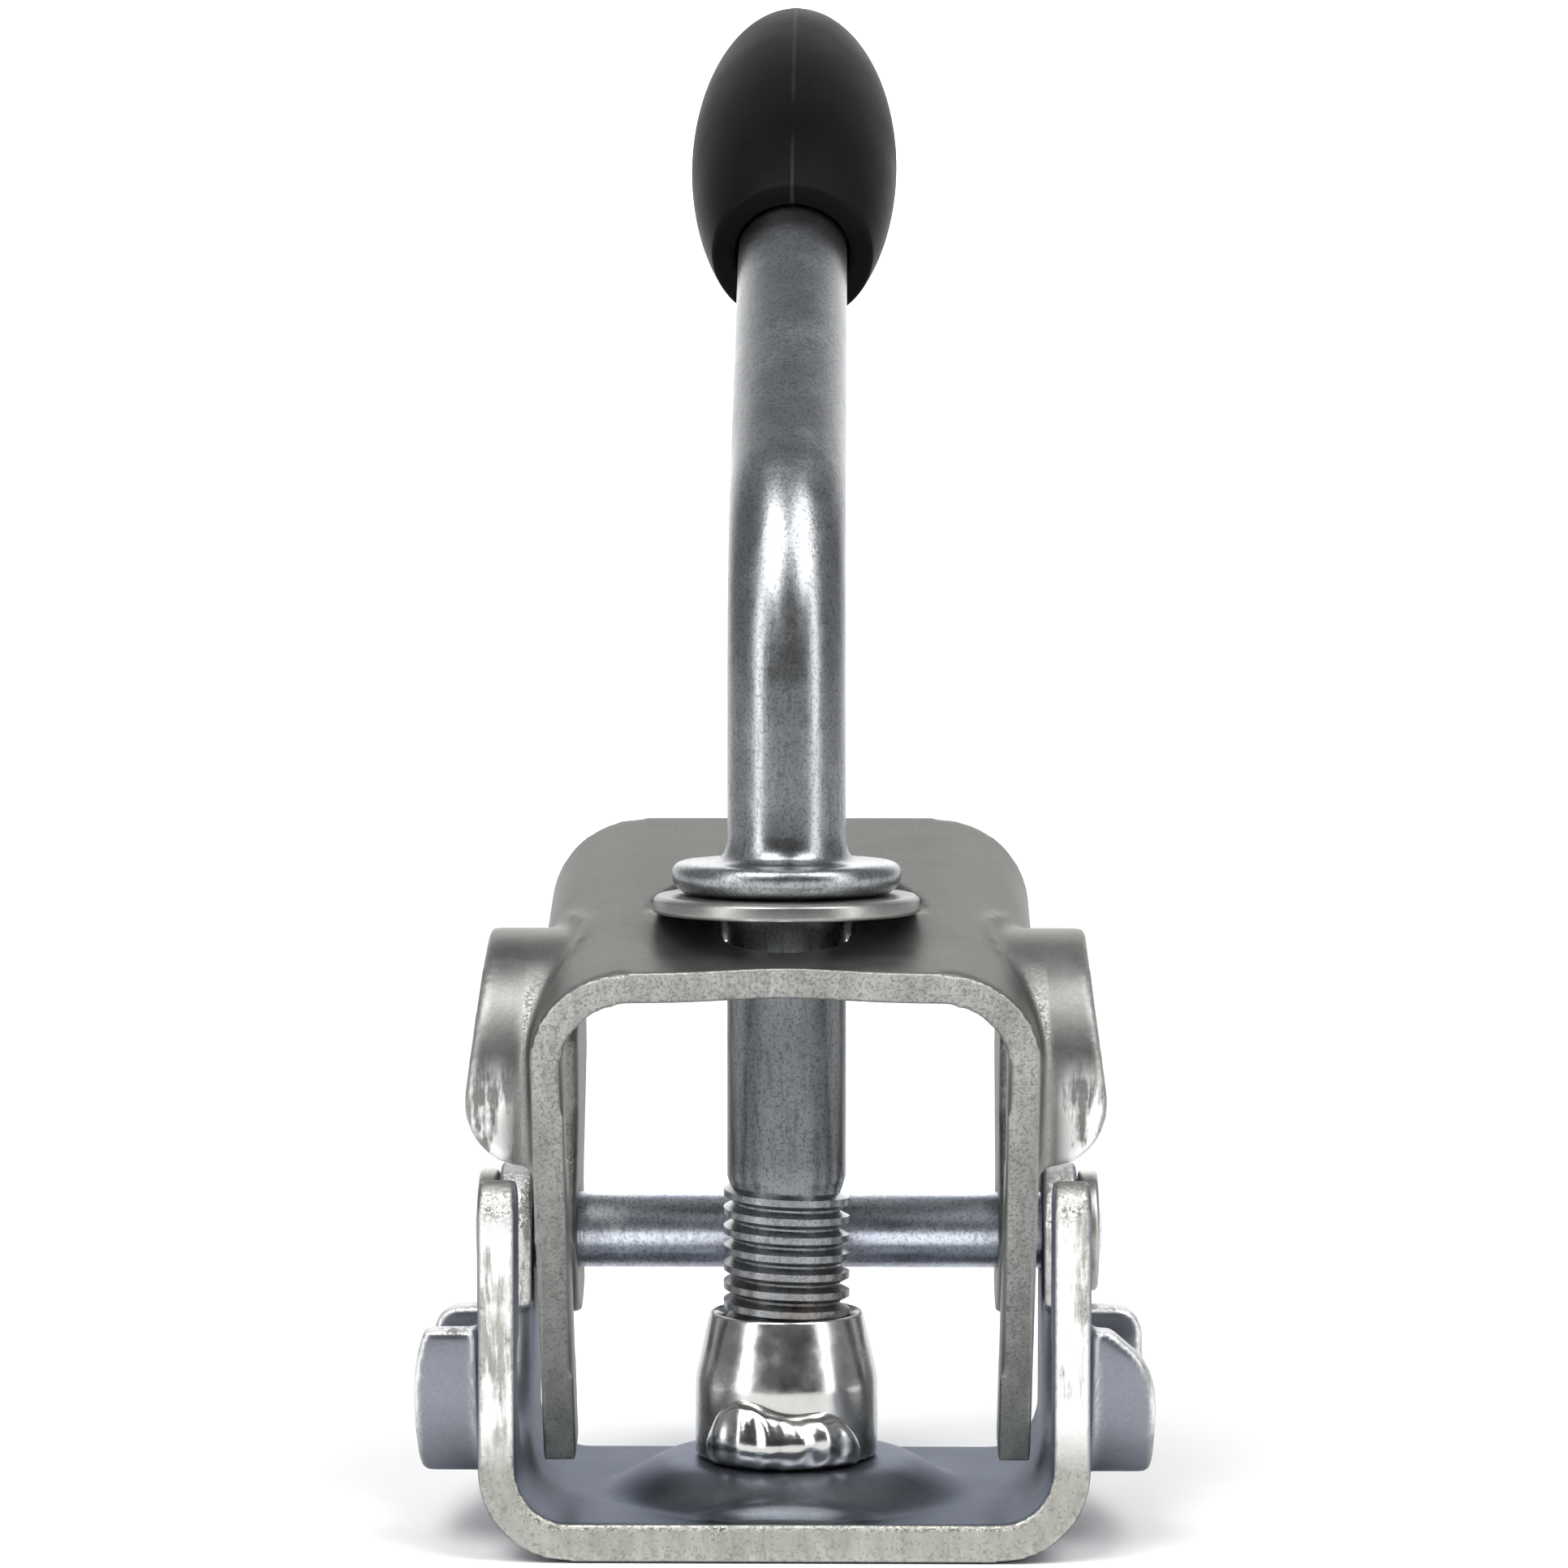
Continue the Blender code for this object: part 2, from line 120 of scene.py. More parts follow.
class ClampColours(bpy.types.PropertyGroup):
    upper_zinc: colour_property("Upper jaw zinc", "Mottled satin zinc", (0.235, 0.24, 0.228))
    lower_zinc: colour_property("Lower jaw zinc", "Smooth bluish zinc", (0.25, 0.262, 0.298))
    bar_zinc: colour_property("Bar zinc", "Zinc on the drawn bar", (0.32, 0.33, 0.34))
    bright_steel: colour_property("Bright steel", "Turned nut and weld metal", (0.62, 0.62, 0.60))
    upper_cut: colour_property(
        "Upper cut edge", "Speckled sheared edge of the upper jaw", (0.41, 0.413, 0.39))
    lower_cut: colour_property(
        "Lower cut edge", "Bright sheared edge of the lower jaw", (0.47, 0.47, 0.43))
    rust: colour_property("Rust tint", "Thin brown staining near the thread", (0.22, 0.12, 0.06))
    knob: colour_property("Knob plastic", "Black moulded plastic", (0.0045, 0.0045, 0.0048))
    floor: colour_property("Floor", "Pale floor and backdrop", (0.92, 0.92, 0.92))


# Material helpers

def feed(tree, node, inputs):
    """Link a node's inputs to other nodes, or set them to plain values."""
    for name, value in inputs.items():
        socket = node.inputs[name]
        if isinstance(value, bpy.types.NodeSocket):
            tree.links.new(value, socket)
        else:
            socket.default_value = value
    return node


def add_node(tree, kind, inputs=None, **settings):
    """Make a node with its settings, and feed its inputs."""
    node = tree.nodes.new(kind)
    for name, value in settings.items():
        setattr(node, name, value)
    return feed(tree, node, inputs or {})


def maths_node(tree, operation, first, second):
    return add_node(tree, "ShaderNodeMath", {0: first, 1: second}, operation=operation).outputs[0]


class Painter:
    """Adds nodes to one material. Noise scales are per metre, and heights are in metres."""

    def __init__(self, name, base, metallic, roughness, extra=None):
        self.material = bpy.data.materials.new(name)
        self.material.use_nodes = True
        self.tree = self.material.node_tree
        self.shader = feed(self.tree, self.tree.nodes["Principled BSDF"], {
            "Base Color": (*base, 1), "Metallic": metallic, "Roughness": roughness, **(extra or {})})
        self.coords = self.add("ShaderNodeTexCoord").outputs["Object"]

    def add(self, kind, inputs=None, **settings):
        return add_node(self.tree, kind, inputs, **settings)

    def grain(self, scale, detail=4.0, rough=0.6, stretch=(1, 1, 1), turn=(0, 0, 0), distortion=0.0):
        """Noise, drawn out along the axes where stretch is below 1."""
        place = self.add("ShaderNodeMapping", {
            "Vector": self.coords, "Scale": stretch, "Rotation": turn})
        return self.add("ShaderNodeTexNoise", {
            "Vector": place.outputs["Vector"], "Scale": scale, "Detail": detail,
            "Roughness": rough, "Distortion": distortion}).outputs["Fac"]

    def range(self, source, low, high, to_low=0.0, to_high=1.0):
        return self.add("ShaderNodeMapRange", {
            "Value": source, "From Min": low, "From Max": high,
            "To Min": to_low, "To Max": to_high}).outputs["Result"]

    def maths(self, operation, first, second):
        return maths_node(self.tree, operation, first, second)

    def both(self, first, second):
        """One mask times another, or times a plain share."""
        return self.maths("MULTIPLY", first, second)

    def blend(self, factor, first, second, mode="MIX"):
        """Mixes two colours, each a socket or a plain triple."""
        node = self.add("ShaderNodeMix", {"Factor": factor}, data_type="RGBA", blend_type=mode)
        places = [i for i, socket in enumerate(node.inputs) if socket.type == "RGBA"]
        colours = [c if isinstance(c, bpy.types.NodeSocket) else (*c, 1) for c in (first, second)]
        feed(self.tree, node, dict(zip(places, colours)))
        return next(socket for socket in node.outputs if socket.type == "RGBA")

    def clouded(self, cloud, base, dark, light):
        """A colour that runs from darker to lighter with the clouds."""
        return self.blend(self.range(cloud, 0.3, 0.7), times(base, dark), times(base, light))

    def axis(self, name):
        return self.add("ShaderNodeSeparateXYZ", {"Vector": self.coords}).outputs[name]

    def from_middle(self):
        """Distance to either side of the object's middle."""
        return self.maths("ABSOLUTE", self.axis("X"), 0)

    def region(self, side, low, high):
        """1 farther than side from the middle and between two heights, with soft borders."""
        height = self.axis("Z")
        soft = 3 * MM
        outside = self.range(self.from_middle(), side, side + 2 * MM)
        above = self.range(height, low - soft, low + soft)
        return self.both(outside, self.both(above, self.range(height, high + soft, high - soft)))

    def bump(self, height, strength, distance, below=None):
        inputs = {"Strength": strength, "Distance": distance, "Height": height}
        if below is not None:
            inputs["Normal"] = below
        return self.add("ShaderNodeBump", inputs).outputs["Normal"]

    def output(self, colour, gloss=None, normal=None):
        """Link the finish to the shader, and give the material."""
        finish = {"Base Color": colour, "Roughness": gloss, "Normal": normal}
        feed(self.tree, self.shader, {name: v for name, v in finish.items() if v is not None})
        return self.material


def times(colour, factor):
    return tuple(channel * factor for channel in colour)


# Near-white: bare worn metal, and also a painted reflection of the bright floor.
BARE_METAL_AND_REFLECTION = (0.95, 0.95, 0.93)


def plate_zinc(name, base, cut, mottle, roughness, bare_metal_and_reflection=None, on_sheared_edges=False,
               floor_shade=None, grazing=(1, 1, 1), calm=-3 * MM):
    """Zinc plate: cloudy patches, fine speckle, faint rolling lines and bright sheared edges.

    bare_metal_and_reflection is (side, low, high, least): where streaky near-white patches go, and
    the noise they take. On the lower jaw's sheared edges they are zinc worn to bare metal; on the
    upper jaw's ears they are a painted reflection of the bright floor. on_sheared_edges puts them
    on the sheared edges and not the faces. floor_shade is (height, share): painted shade, how far
    up the plate is darker, and by what colour. grazing tints glancing light.
    Corners nearer to the middle than calm stay unworn.
    """
    paint = Painter(name, base, 1.0, roughness, {"Specular Tint": (*grazing, 1)})
    cloud = paint.grain(70, 5, 0.62)
    speckle = paint.grain(2600, 3, 0.75)
    lines = paint.grain(260, 3, 0.6, stretch=(0.15, 1.0, 0.35), turn=(0.2, 0.1, 0.15))
    flat = paint.clouded(cloud, base, 1 - mottle, 1 + mottle)
    flat = paint.blend(paint.range(speckle, 0.54, 0.7, 0, 0.35), flat, times(base, 1.5))
    flat = paint.blend(paint.range(speckle, 0.46, 0.3, 0, 0.35), flat, times(base, 0.5))
    flat = paint.blend(paint.range(lines, 0.5, 0.72, 0, 0.22), flat, times(base, 0.7))
    # Painted shade: the plate is darker below the given height, by the share colour.
    if floor_shade:
        height, share = floor_shade
        shade = paint.range(paint.axis("Z"), height + 2 * MM, height - 1 * MM)
        flat = paint.blend(shade, flat, paint.blend(1.0, flat, share, "MULTIPLY"))
    pits = paint.range(paint.grain(2100, 4, 0.75), 0.5, 0.64)
    smear = paint.grain(340, 4, 0.7, stretch=(1, 1, 0.3), distortion=0.6)
    sheared = paint.blend(paint.range(smear, 0.35, 0.65), times(cut, 0.8), times(cut, 1.12))
    sheared = paint.blend(paint.both(pits, 0.6), sheared, times(cut, 0.35))
    edge = paint.add("ShaderNodeAttribute", attribute_name="cut_edge").outputs["Fac"]
    colour = paint.blend(edge, flat, sheared)
    corners = paint.add("ShaderNodeNewGeometry").outputs["Pointiness"]
    worn = paint.both(paint.range(corners, 0.53, 0.6),
                      paint.range(paint.from_middle(), calm, calm + 2 * MM, 0, 0.75))
    colour = paint.blend(worn, colour, times(cut, 1.5))
    gloss = paint.range(cloud, 0.3, 0.7, roughness - 0.06, roughness + 0.09)
    gloss = paint.maths("ADD", gloss, paint.both(edge, 0.05))
    # Near-white streaky patches: bare worn metal on the lower jaw's sheared edges, and a painted
    # reflection of the bright floor on the upper jaw's ears.
    if bare_metal_and_reflection:
        streak_grain = paint.grain(420, 4, 0.7, stretch=(1, 0.4, 0.12), turn=(0.1, 0.5, 0))
        *place, least = bare_metal_and_reflection
        patches = paint.range(paint.maths("ADD", streak_grain, cloud), least, least + 0.12)
        where = edge if on_sheared_edges else paint.maths("SUBTRACT", 1.0, edge)
        where = paint.both(paint.both(where, paint.region(*place)), patches)
        colour = paint.blend(where, colour, BARE_METAL_AND_REFLECTION)
        gloss = paint.maths("SUBTRACT", gloss, paint.both(where, 0.08))
    rough_edge = paint.both(edge, paint.maths("ADD", smear, pits))
    normal = paint.bump(paint.grain(620, 4, 0.65), 0.12, 0.2 * MM)
    normal = paint.bump(rough_edge, 0.35, 0.3 * MM, normal)
    return paint.output(colour, gloss, normal)


def bar_zinc(name, base, rust, roughness):
    """Plated bar: fine crossing scratches, dark specks, painted shade on the shank above the thread,
    and brown staining.
    """
    paint = Painter(name, base, 1.0, roughness)
    cloud = paint.grain(90, 4, 0.6)
    scratches = paint.grain(1100, 3, 0.7, stretch=(1, 1, 0.14), turn=(0.35, 0.5, 0))
    crossing = paint.grain(1100, 3, 0.7, stretch=(1, 1, 0.14), turn=(-0.35, -0.5, 0))
    marks = paint.maths("MAXIMUM", paint.range(scratches, 0.52, 0.66),
                        paint.range(crossing, 0.54, 0.66))
    patchy = paint.both(marks, paint.range(cloud, 0.4, 0.54))
    specks = paint.range(paint.grain(2300, 3, 0.75), 0.5, 0.62)
    colour = paint.clouded(cloud, base, 0.8, 1.25)
    colour = paint.blend(paint.both(patchy, 0.6), colour, times(base, 0.5))
    colour = paint.blend(paint.both(specks, 0.7), colour, times(base, 0.4))
    colour = paint.blend(paint.range(crossing, 0.62, 0.76, 0, 0.3), colour, times(base, 1.5))
    height = paint.axis("Z")
    # Painted shade: the shank between the thread and the washer is darkened.
    shank_shade = paint.both(paint.range(height, 80 * MM, 74 * MM, 0, 0.9),
                       paint.range(height, 44 * MM, 50 * MM))
    colour = paint.blend(shank_shade, colour, paint.blend(1.0, colour, (0.42, 0.425, 0.43), "MULTIPLY"))
    low = paint.range(height, 36 * MM, 27 * MM)
    stain = paint.both(low, paint.range(paint.grain(160, 4, 0.7), 0.45, 0.65))
    colour = paint.blend(paint.both(stain, 0.7), colour, rust)
    gloss = paint.range(cloud, 0.3, 0.7, roughness - 0.05, roughness + 0.08)
    relief = paint.maths("SUBTRACT", scratches, paint.both(patchy, 0.5))
    return paint.output(colour, gloss, paint.bump(relief, 0.12, 0.2 * MM))


def bright_steel(name, base, rust, roughness, ripple):
    """Bright turned or melted steel with soft ripples, turning rings and a little staining."""
    paint = Painter(name, base, 1.0, roughness)
    cloud = paint.grain(180, 4, 0.6)
    ring = paint.grain(900, 2, 0.5, stretch=(0.06, 0.06, 1))
    colour = paint.clouded(cloud, base, 0.82, 1.12)
    stain = paint.range(paint.grain(120, 5, 0.7), 0.6, 0.74, 0, 0.45)
    colour = paint.blend(stain, colour, rust)
    gloss = paint.range(cloud, 0.3, 0.7, roughness - 0.04, roughness + 0.12)
    normal = paint.bump(paint.grain(ripple, 2, 0.5), 0.12, 0.4 * MM)
    return paint.output(colour, gloss, paint.bump(ring, 0.06, 0.2 * MM, normal))


def knob_plastic(name, base):
    """Black moulded plastic, finely pebbled, with dusty marks and a paler parting line."""
    paint = Painter(name, base, 0.0, 0.45, {"Specular IOR Level": 0.05})
    cloud = paint.grain(60, 4, 0.6)
    dust = paint.range(paint.grain(420, 5, 0.75), 0.6, 0.8, 0, 0.35)
    colour = paint.clouded(cloud, base, 0.8, 1.5)
    colour = paint.blend(dust, colour, times(base, 3.4))
    seam = paint.range(paint.from_middle(), 0.32 * MM, 0.12 * MM)
    broken_seam = paint.both(seam, paint.range(cloud, 0.35, 0.6))
    colour = paint.blend(broken_seam, colour, times(base, 6))
    gloss = paint.range(cloud, 0.3, 0.7, 0.4, 0.52)
    normal = paint.bump(paint.grain(1500, 2, 0.5), 0.1, 0.2 * MM)
    return paint.output(colour, gloss, paint.bump(seam, 0.5, 0.2 * MM, normal))


def floor_paint(name, base):
    """Matt paint with the faintest unevenness."""
    paint = Painter(name, base, 0.0, 0.75)
    cloud = paint.grain(3, 3, 0.5)
    return paint.output(paint.clouded(cloud, base, 0.99, 1))


# Mesh helpers

HALF_SPAN = 60
EYE_RADIUS = 5.5


def new_piece(name, mesh):
    piece = bpy.data.objects.new(name, mesh)
    bpy.context.scene.collection.objects.link(piece)
    return piece


def mesh_from(name, bm):
    mesh = bpy.data.meshes.new(name)
    bm.to_mesh(mesh)
    bm.free()
    return mesh


def bake(piece):
    """Turn the piece's modifiers into a plain mesh."""
    graph = bpy.context.evaluated_depsgraph_get()
    mesh = bpy.data.meshes.new_from_object(piece.evaluated_get(graph))
    piece.modifiers.clear()
    piece.data = mesh
    return piece


def dress(piece, body, nodes, material=None):
    """Smooth a finished piece, give it its finish, and hang it on its body."""
    if material is not None:
        piece.data.materials.clear()
        piece.data.materials.append(material)
    for face in piece.data.polygons:
        face.use_smooth = True
    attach(piece, body)
    for node in nodes:
        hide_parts(node)


def arc(centre, radius, start, end, steps=24):
    """Points of an arc, angles in degrees."""
    angles = [math.radians(start + (end - start) * i / steps) for i in range(steps + 1)]
    return [(centre[0] + radius * math.cos(a), centre[1] + radius * math.sin(a)) for a in angles]


def prism(bm, outline, axis, start, end):
    """Add a flat outline in mm, pushed along X, Y or Z, to the mesh."""
    def place(point, along):
        values = list(point)
        values.insert("XYZ".index(axis), along)
        return Vector(values) * MM

    face = bm.faces.new([bm.verts.new(place(point, start)) for point in outline])
    grown = bmesh.ops.extrude_face_region(bm, geom=[face])["geom"]
    moved = [part for part in grown if isinstance(part, bmesh.types.BMVert)]
    bmesh.ops.translate(bm, verts=moved, vec=place((0, 0), end - start))
    bmesh.ops.recalc_face_normals(bm, faces=bm.faces)


def cutter(outline, axis="X", start=-HALF_SPAN, end=HALF_SPAN):
    """A block to cut with, right through the object from side to side unless told otherwise."""
    bm = bmesh.new()
    prism(bm, outline, axis, start, end)
    return new_piece("cutter", mesh_from("cutter", bm))


def disc(centre, radius, steps):
    return arc(centre, radius, 0, 360, steps)[:-1]


def cut(piece, tool, operation="DIFFERENCE"):
    """Cut a piece with a tool, and use the tool up."""
    modifier = piece.modifiers.new("cut", "BOOLEAN")
    modifier.operation = operation
    modifier.solver = "EXACT"
    modifier.object = tool
    bake(piece)
    bpy.data.objects.remove(tool, do_unlink=True)


def ring_loft(bm, loops):
    """Join loops of points into a skin with flat ends."""
    rows = [[bm.verts.new(Vector(point)) for point in loop] for loop in loops]
    for lower, upper in zip(rows, rows[1:]):
        for corners in zip(lower, lower[1:] + lower[:1], upper[1:] + upper[:1], upper):
            bm.faces.new(corners)
    bm.faces.new(list(reversed(rows[0])))
    bm.faces.new(rows[-1])
    bmesh.ops.recalc_face_normals(bm, faces=bm.faces)


def spin(name, section, steps, matrix=Matrix.Identity(4)):
    """Spin (radius, height) points in mm round Z; a section off the axis closes on itself."""
    bm = bmesh.new()
    ring = section[0][0] > 1e-6
    rows = []
    for i in range(steps):
        angle = math.tau * i / steps
        points = [(r * MM * math.cos(angle), r * MM * math.sin(angle), z * MM) for r, z in section]
        rows.append([bm.verts.new(point) for point in points])
    count = len(section)
    for i in range(steps):
        first, second = rows[i], rows[(i + 1) % steps]
        for j in range(count if ring else count - 1):
            k = (j + 1) % count
            bm.faces.new((first[j], second[j], second[k], first[k]))
    bmesh.ops.remove_doubles(bm, verts=bm.verts, dist=1e-6)
    bmesh.ops.dissolve_degenerate(bm, edges=bm.edges, dist=1e-7)
    bmesh.ops.recalc_face_normals(bm, faces=bm.faces)
    mesh = mesh_from(name, bm)
    mesh.transform(matrix)
    return new_piece(name, mesh)


def rounded(section, radius, steps=4):
    """Round the corners of an open run of (radius, height) points, in mm."""
    points = [Vector(point) for point in section]
    result = [section[0]]
    for before, corner, after in zip(points, points[1:], points[2:]):
        back, on = before - corner, after - corner
        reach = min(radius, back.length * 0.48, on.length * 0.48)
        first = corner + back.normalized() * reach
        last = corner + on.normalized() * reach
        for i in range(steps + 1):
            t = i / steps
            result.append(tuple(first * (1 - t) ** 2 + corner * 2 * t * (1 - t) + last * t ** 2))
    return result + [section[-1]]


def channel(half, half_foot, height, bend, thick, steps=20):
    """A U section with its web at the top at zero and its legs running down, in X and Z."""
    inner = half - thick
    inner_bend = bend - thick
    outline = [(-half_foot, -height)]
    outline += arc((-half + bend, -bend), bend, 180, 90, steps)
    outline += arc((half - bend, -bend), bend, 90, 0, steps)
    outline += [(half_foot, -height), (half_foot - thick, -height)]
    outline += arc((inner - inner_bend, -bend), inner_bend, 0, 90, steps)
    outline += arc((-inner + inner_bend, -bend), inner_bend, 90, 180, steps)
    outline += [(-half_foot + thick, -height)]
    return outline


def bent_wall(half, bend, depth):
    """How far out a wall stands at some depth past the start of its bend."""
    if depth >= bend:
        return half
    return half - bend + math.sqrt(max(0.0, bend ** 2 - (bend - max(depth, 0.0)) ** 2))


def flange(bm, path, side, walls, thick, root, reach):
    """Sweep a turned-out flange along a path of (y, z, outward y, outward z) stations, in mm.

    walls(z) gives the inner and outer wall there, and reach(share) how far out the flange goes.
    """
    loops = []
    for index, (y, z, out_y, out_z) in enumerate(path):
        end = reach(index / (len(path) - 1))
        wall_in = walls(z + out_z * root)[0]
        wall_out = walls(z + out_z * (thick + 1))[1]
        fillet = min(1.6, max(0.2, end - wall_out - 0.4))
        tip = min(1.0, (end - wall_out) * 0.4)
        section = [(root + 2.2, wall_in + 0.1), (root + 2.2, wall_out - 0.1)]
        section += arc((thick + fillet, wall_out + fillet), fillet, 270, 180, 5)
        section += arc((thick - tip, end - tip), tip, 0, 90, 4)
        section += arc((tip, end - tip), tip, 90, 180, 4)
        section += arc((root, wall_in + root), root, 180, 270, 8)
        loop = [(side * x * MM, (y + out_y * a) * MM, (z + out_z * a) * MM) for a, x in section]
        loops.append(loop)
    ring_loft(bm, loops)


def press_channel(name, section, ends, outline, relief, relief_span, pin):
    """Bend a plate to a channel, trim it to its side outline, and clear its bends and eyes.

    It gives the piece, and its mesh opened for the flanges.
    """
    bm = bmesh.new()
    prism(bm, section, "Y", *ends)
    plate = new_piece(name, mesh_from(name, bm))
    cut(plate, cutter(outline), "INTERSECT")
    for side in (-1, 1):
        cut(plate, cutter(relief, "X", *sorted(side * x for x in relief_span)))
    cut(plate, cutter(disc(pin, EYE_RADIUS, 40)))
    bm = bmesh.new()
    bm.from_mesh(plate.data)
    return plate, bm


def arch_stations(centre, radius, step):
    """Stations of a flange's path round half a circle, from its front end."""
    stations = []
    for i in range(61):
        angle = math.radians(180 + step * i)
        out = (math.cos(angle), math.sin(angle))
        stations.append((centre[0] + radius * out[0], centre[1] + radius * out[1], *out))
    return stations


def skinned(piece, cell, smoothing=5):
    """Fuse overlapping shells into one skin with softly rounded edges."""
    remesh = piece.modifiers.new("skin", "REMESH")
    remesh.mode = "VOXEL"
    remesh.voxel_size = cell
    smooth = piece.modifiers.new("soften", "SMOOTH")
    smooth.factor = 0.5
    smooth.iterations = smoothing
    return bake(piece)


def mark_cut_edges(piece, share):
    """Store how much of each point is a sheared edge, from 0 on rolled faces to 1."""
    mesh = piece.data
    layer = mesh.attributes.new("cut_edge", "FLOAT", "POINT")
    normals = mesh.vertex_normals
    for vertex in mesh.vertices:
        value = share(vertex.co / MM, normals[vertex.index].vector)
        layer.data[vertex.index].value = min(1.0, max(0.0, value * 2.2 - 0.7))


# Lower jaw

LOBE_CENTRE = (-2.5, 27.5)
LOBE_INNER = 14.5
LOBE_REACH = LOWER_HIGH.x / MM
FRONT_POST_TOP = LOWER_HIGH.z / MM
LOWER_HALF = 40.0
LOWER_BEND = 12.0
LOWER_EYE = 9.4
POST_CORNER = 4.2
SEAT_HEIGHT = 9.5
SEAT_FOOT = 25.5
SEAT_TOP = 15.0
RIDGE_RISE = 0.45
GROOVE_SINK = 0.6


def lower_side_outline():
    """The lower jaw seen from the side, in Y and Z."""
    side = [(LOWER_FRONT, -2), (LOWER_BACK, -2), (LOWER_BACK, PIN_SIDE[1])]
    side += arc(PIN_SIDE, LOWER_EYE, 8, 172, 24)
    side += [(LOBE_CENTRE[0] + LOBE_INNER, PIN_SIDE[1] - 5)]
    side += arc(LOBE_CENTRE, LOBE_INNER, 0, -180, 40)
    shoulder = FRONT_POST_TOP - POST_CORNER
    side += arc((LOBE_CENTRE[0] - LOBE_INNER - POST_CORNER, shoulder), POST_CORNER, 5, 90, 8)
    side += arc((LOWER_FRONT + POST_CORNER, shoulder), POST_CORNER, 90, 180, 8)
    return side


def quarter_round(share, radius):
    """How far a rounded corner falls short, from its whole radius at 0 to nothing at 1."""
    return radius * (1 - math.sqrt(1 - (1 - min(share, 1.0)) ** 2))


def lobe_reach(corner):
    """How far out the lower flange goes along its trough, with rounded corners at its rims."""
    def reach(share):
        near = quarter_round(share / 0.17, corner)
        return LOBE_REACH - near - quarter_round((1 - share) / 0.08, 3.0)
    return reach


def press_seat(piece, height):
    """Raise the round seat for the nut out of the base, and crease the base before it."""
    for vertex in piece.data.vertices:
        x, y, z = vertex.co / MM
        if z < 2.5 or z > 6.5:
            continue
        distance = math.hypot(x, y)
        share = min(1.0, max(0.0, (SEAT_FOOT - distance) / (SEAT_FOOT - SEAT_TOP)))
        vertex.co.z += height * MM * share * share * (3 - 2 * share)
        ridge = RIDGE_RISE * math.exp(-((y - LOWER_FRONT - 4.6) / 0.8) ** 2 - (x / 11.0) ** 6)
        groove = GROOVE_SINK * math.exp(-((y - LOWER_FRONT - 2.4) / 0.7) ** 2 - (x / 7.5) ** 6)
        vertex.co.z += (ridge - groove) * MM


def lower_cut_share(point, normal):
    """Sheared edges of the lower jaw: its ends, its rims and the flanges' outer edges."""
    x, y, z = point
    if abs(x) > LOWER_HALF + 1.0:
        rim = abs(normal.z) if z > LOBE_CENTRE[1] - 1.5 else 0.0
        return max(abs(normal.x), rim)
    if z < LOWER_BEND:
        inside = LOWER_FRONT + 1.5 < y < LOWER_BACK - 1.5
        return 0.0 if inside else abs(normal.y)
    return 1 - abs(normal.x)


class CLAMP_OT_lower_jaw(bpy.types.Operator):
    """Press the lower jaw: base, two arms, eyes for the pin and two half-round troughs"""
    bl_idname = "clamp.lower_jaw"
    bl_label = "Lower Jaw"

    def execute(self, context):
        sizes, colours = context.scene.clamp_jaws, context.scene.clamp_colours
        thick = sizes.lower_thick / MM
        root = sizes.flange_root / MM
        section = [(x, -z) for x, z in channel(LOWER_HALF, LOWER_HALF, 56, LOWER_BEND, thick)]
        relief = arc(LOBE_CENTRE, LOBE_INNER + root + 0.6, 180, 360, 40)
        jaw, bm = press_channel(
            "lower_jaw_plate", section, (LOWER_FRONT, LOWER_BACK), lower_side_outline(),
            relief, (LOWER_HALF - thick - 2.5, LOWER_HALF + 2), PIN_SIDE)
        stations = arch_stations(LOBE_CENTRE, LOBE_INNER, 3)
        stations.insert(0, (stations[0][0], LOBE_CENTRE[1] + 2.2, -1, 0))

        def walls(z):
            inner = bent_wall(LOWER_HALF - thick, LOWER_BEND - thick, z - thick)
            return inner, bent_wall(LOWER_HALF, LOWER_BEND, z)

        for side, corner in ((-1, 1.5), (1, 6.0)):
            flange(bm, stations, side, walls, thick, root, lobe_reach(corner))
        jaw.data = mesh_from("lower_jaw_plate", bm)
        skinned(jaw, sizes.skin)
        press_seat(jaw, SEAT_HEIGHT - thick)
        mark_cut_edges(jaw, lower_cut_share)
        # Painted shade darkens the base and its bends below about 8.5 mm.
        finish = plate_zinc("smooth_blue_zinc", colours.lower_zinc, colours.lower_cut, 0.1, 0.36,
                            bare_metal_and_reflection=(33 * MM, 15 * MM, 46 * MM, 0.82), on_sheared_edges=True,
                            floor_shade=(8.5 * MM, (0.66, 0.68, 0.67)), grazing=(0.42, 0.43, 0.47))
        dress(jaw, "lower_jaw", ["lower_jaw"], finish)
        return {"FINISHED"}


# Upper jaw, laid out level with Y as depth and Z as minus the drop, then tipped about the pin

UPPER_HALF = 34.0
UPPER_HALF_FOOT = 33.1
UPPER_BEND = 13.5
UPPER_DEPTH = 59.0
UPPER_DROP = 71.4
UPPER_PIN = (26.0, -49.0)
UPPER_LEG = 7.0
EAR_CENTRE = (21.0, -21.7)
EAR_INNER = 14.0
EAR_REACH = 42.8
EAR_TAIL = 7.5
SLOT_HALF = 8.6
SLOT_ENDS = (-2.4, 7.4)
POCKET_RADIUS = 19.5
POCKET_DROP = 0.3
LIP_LIFT = 0.8
HOLLOW_DEPTH = 0.55


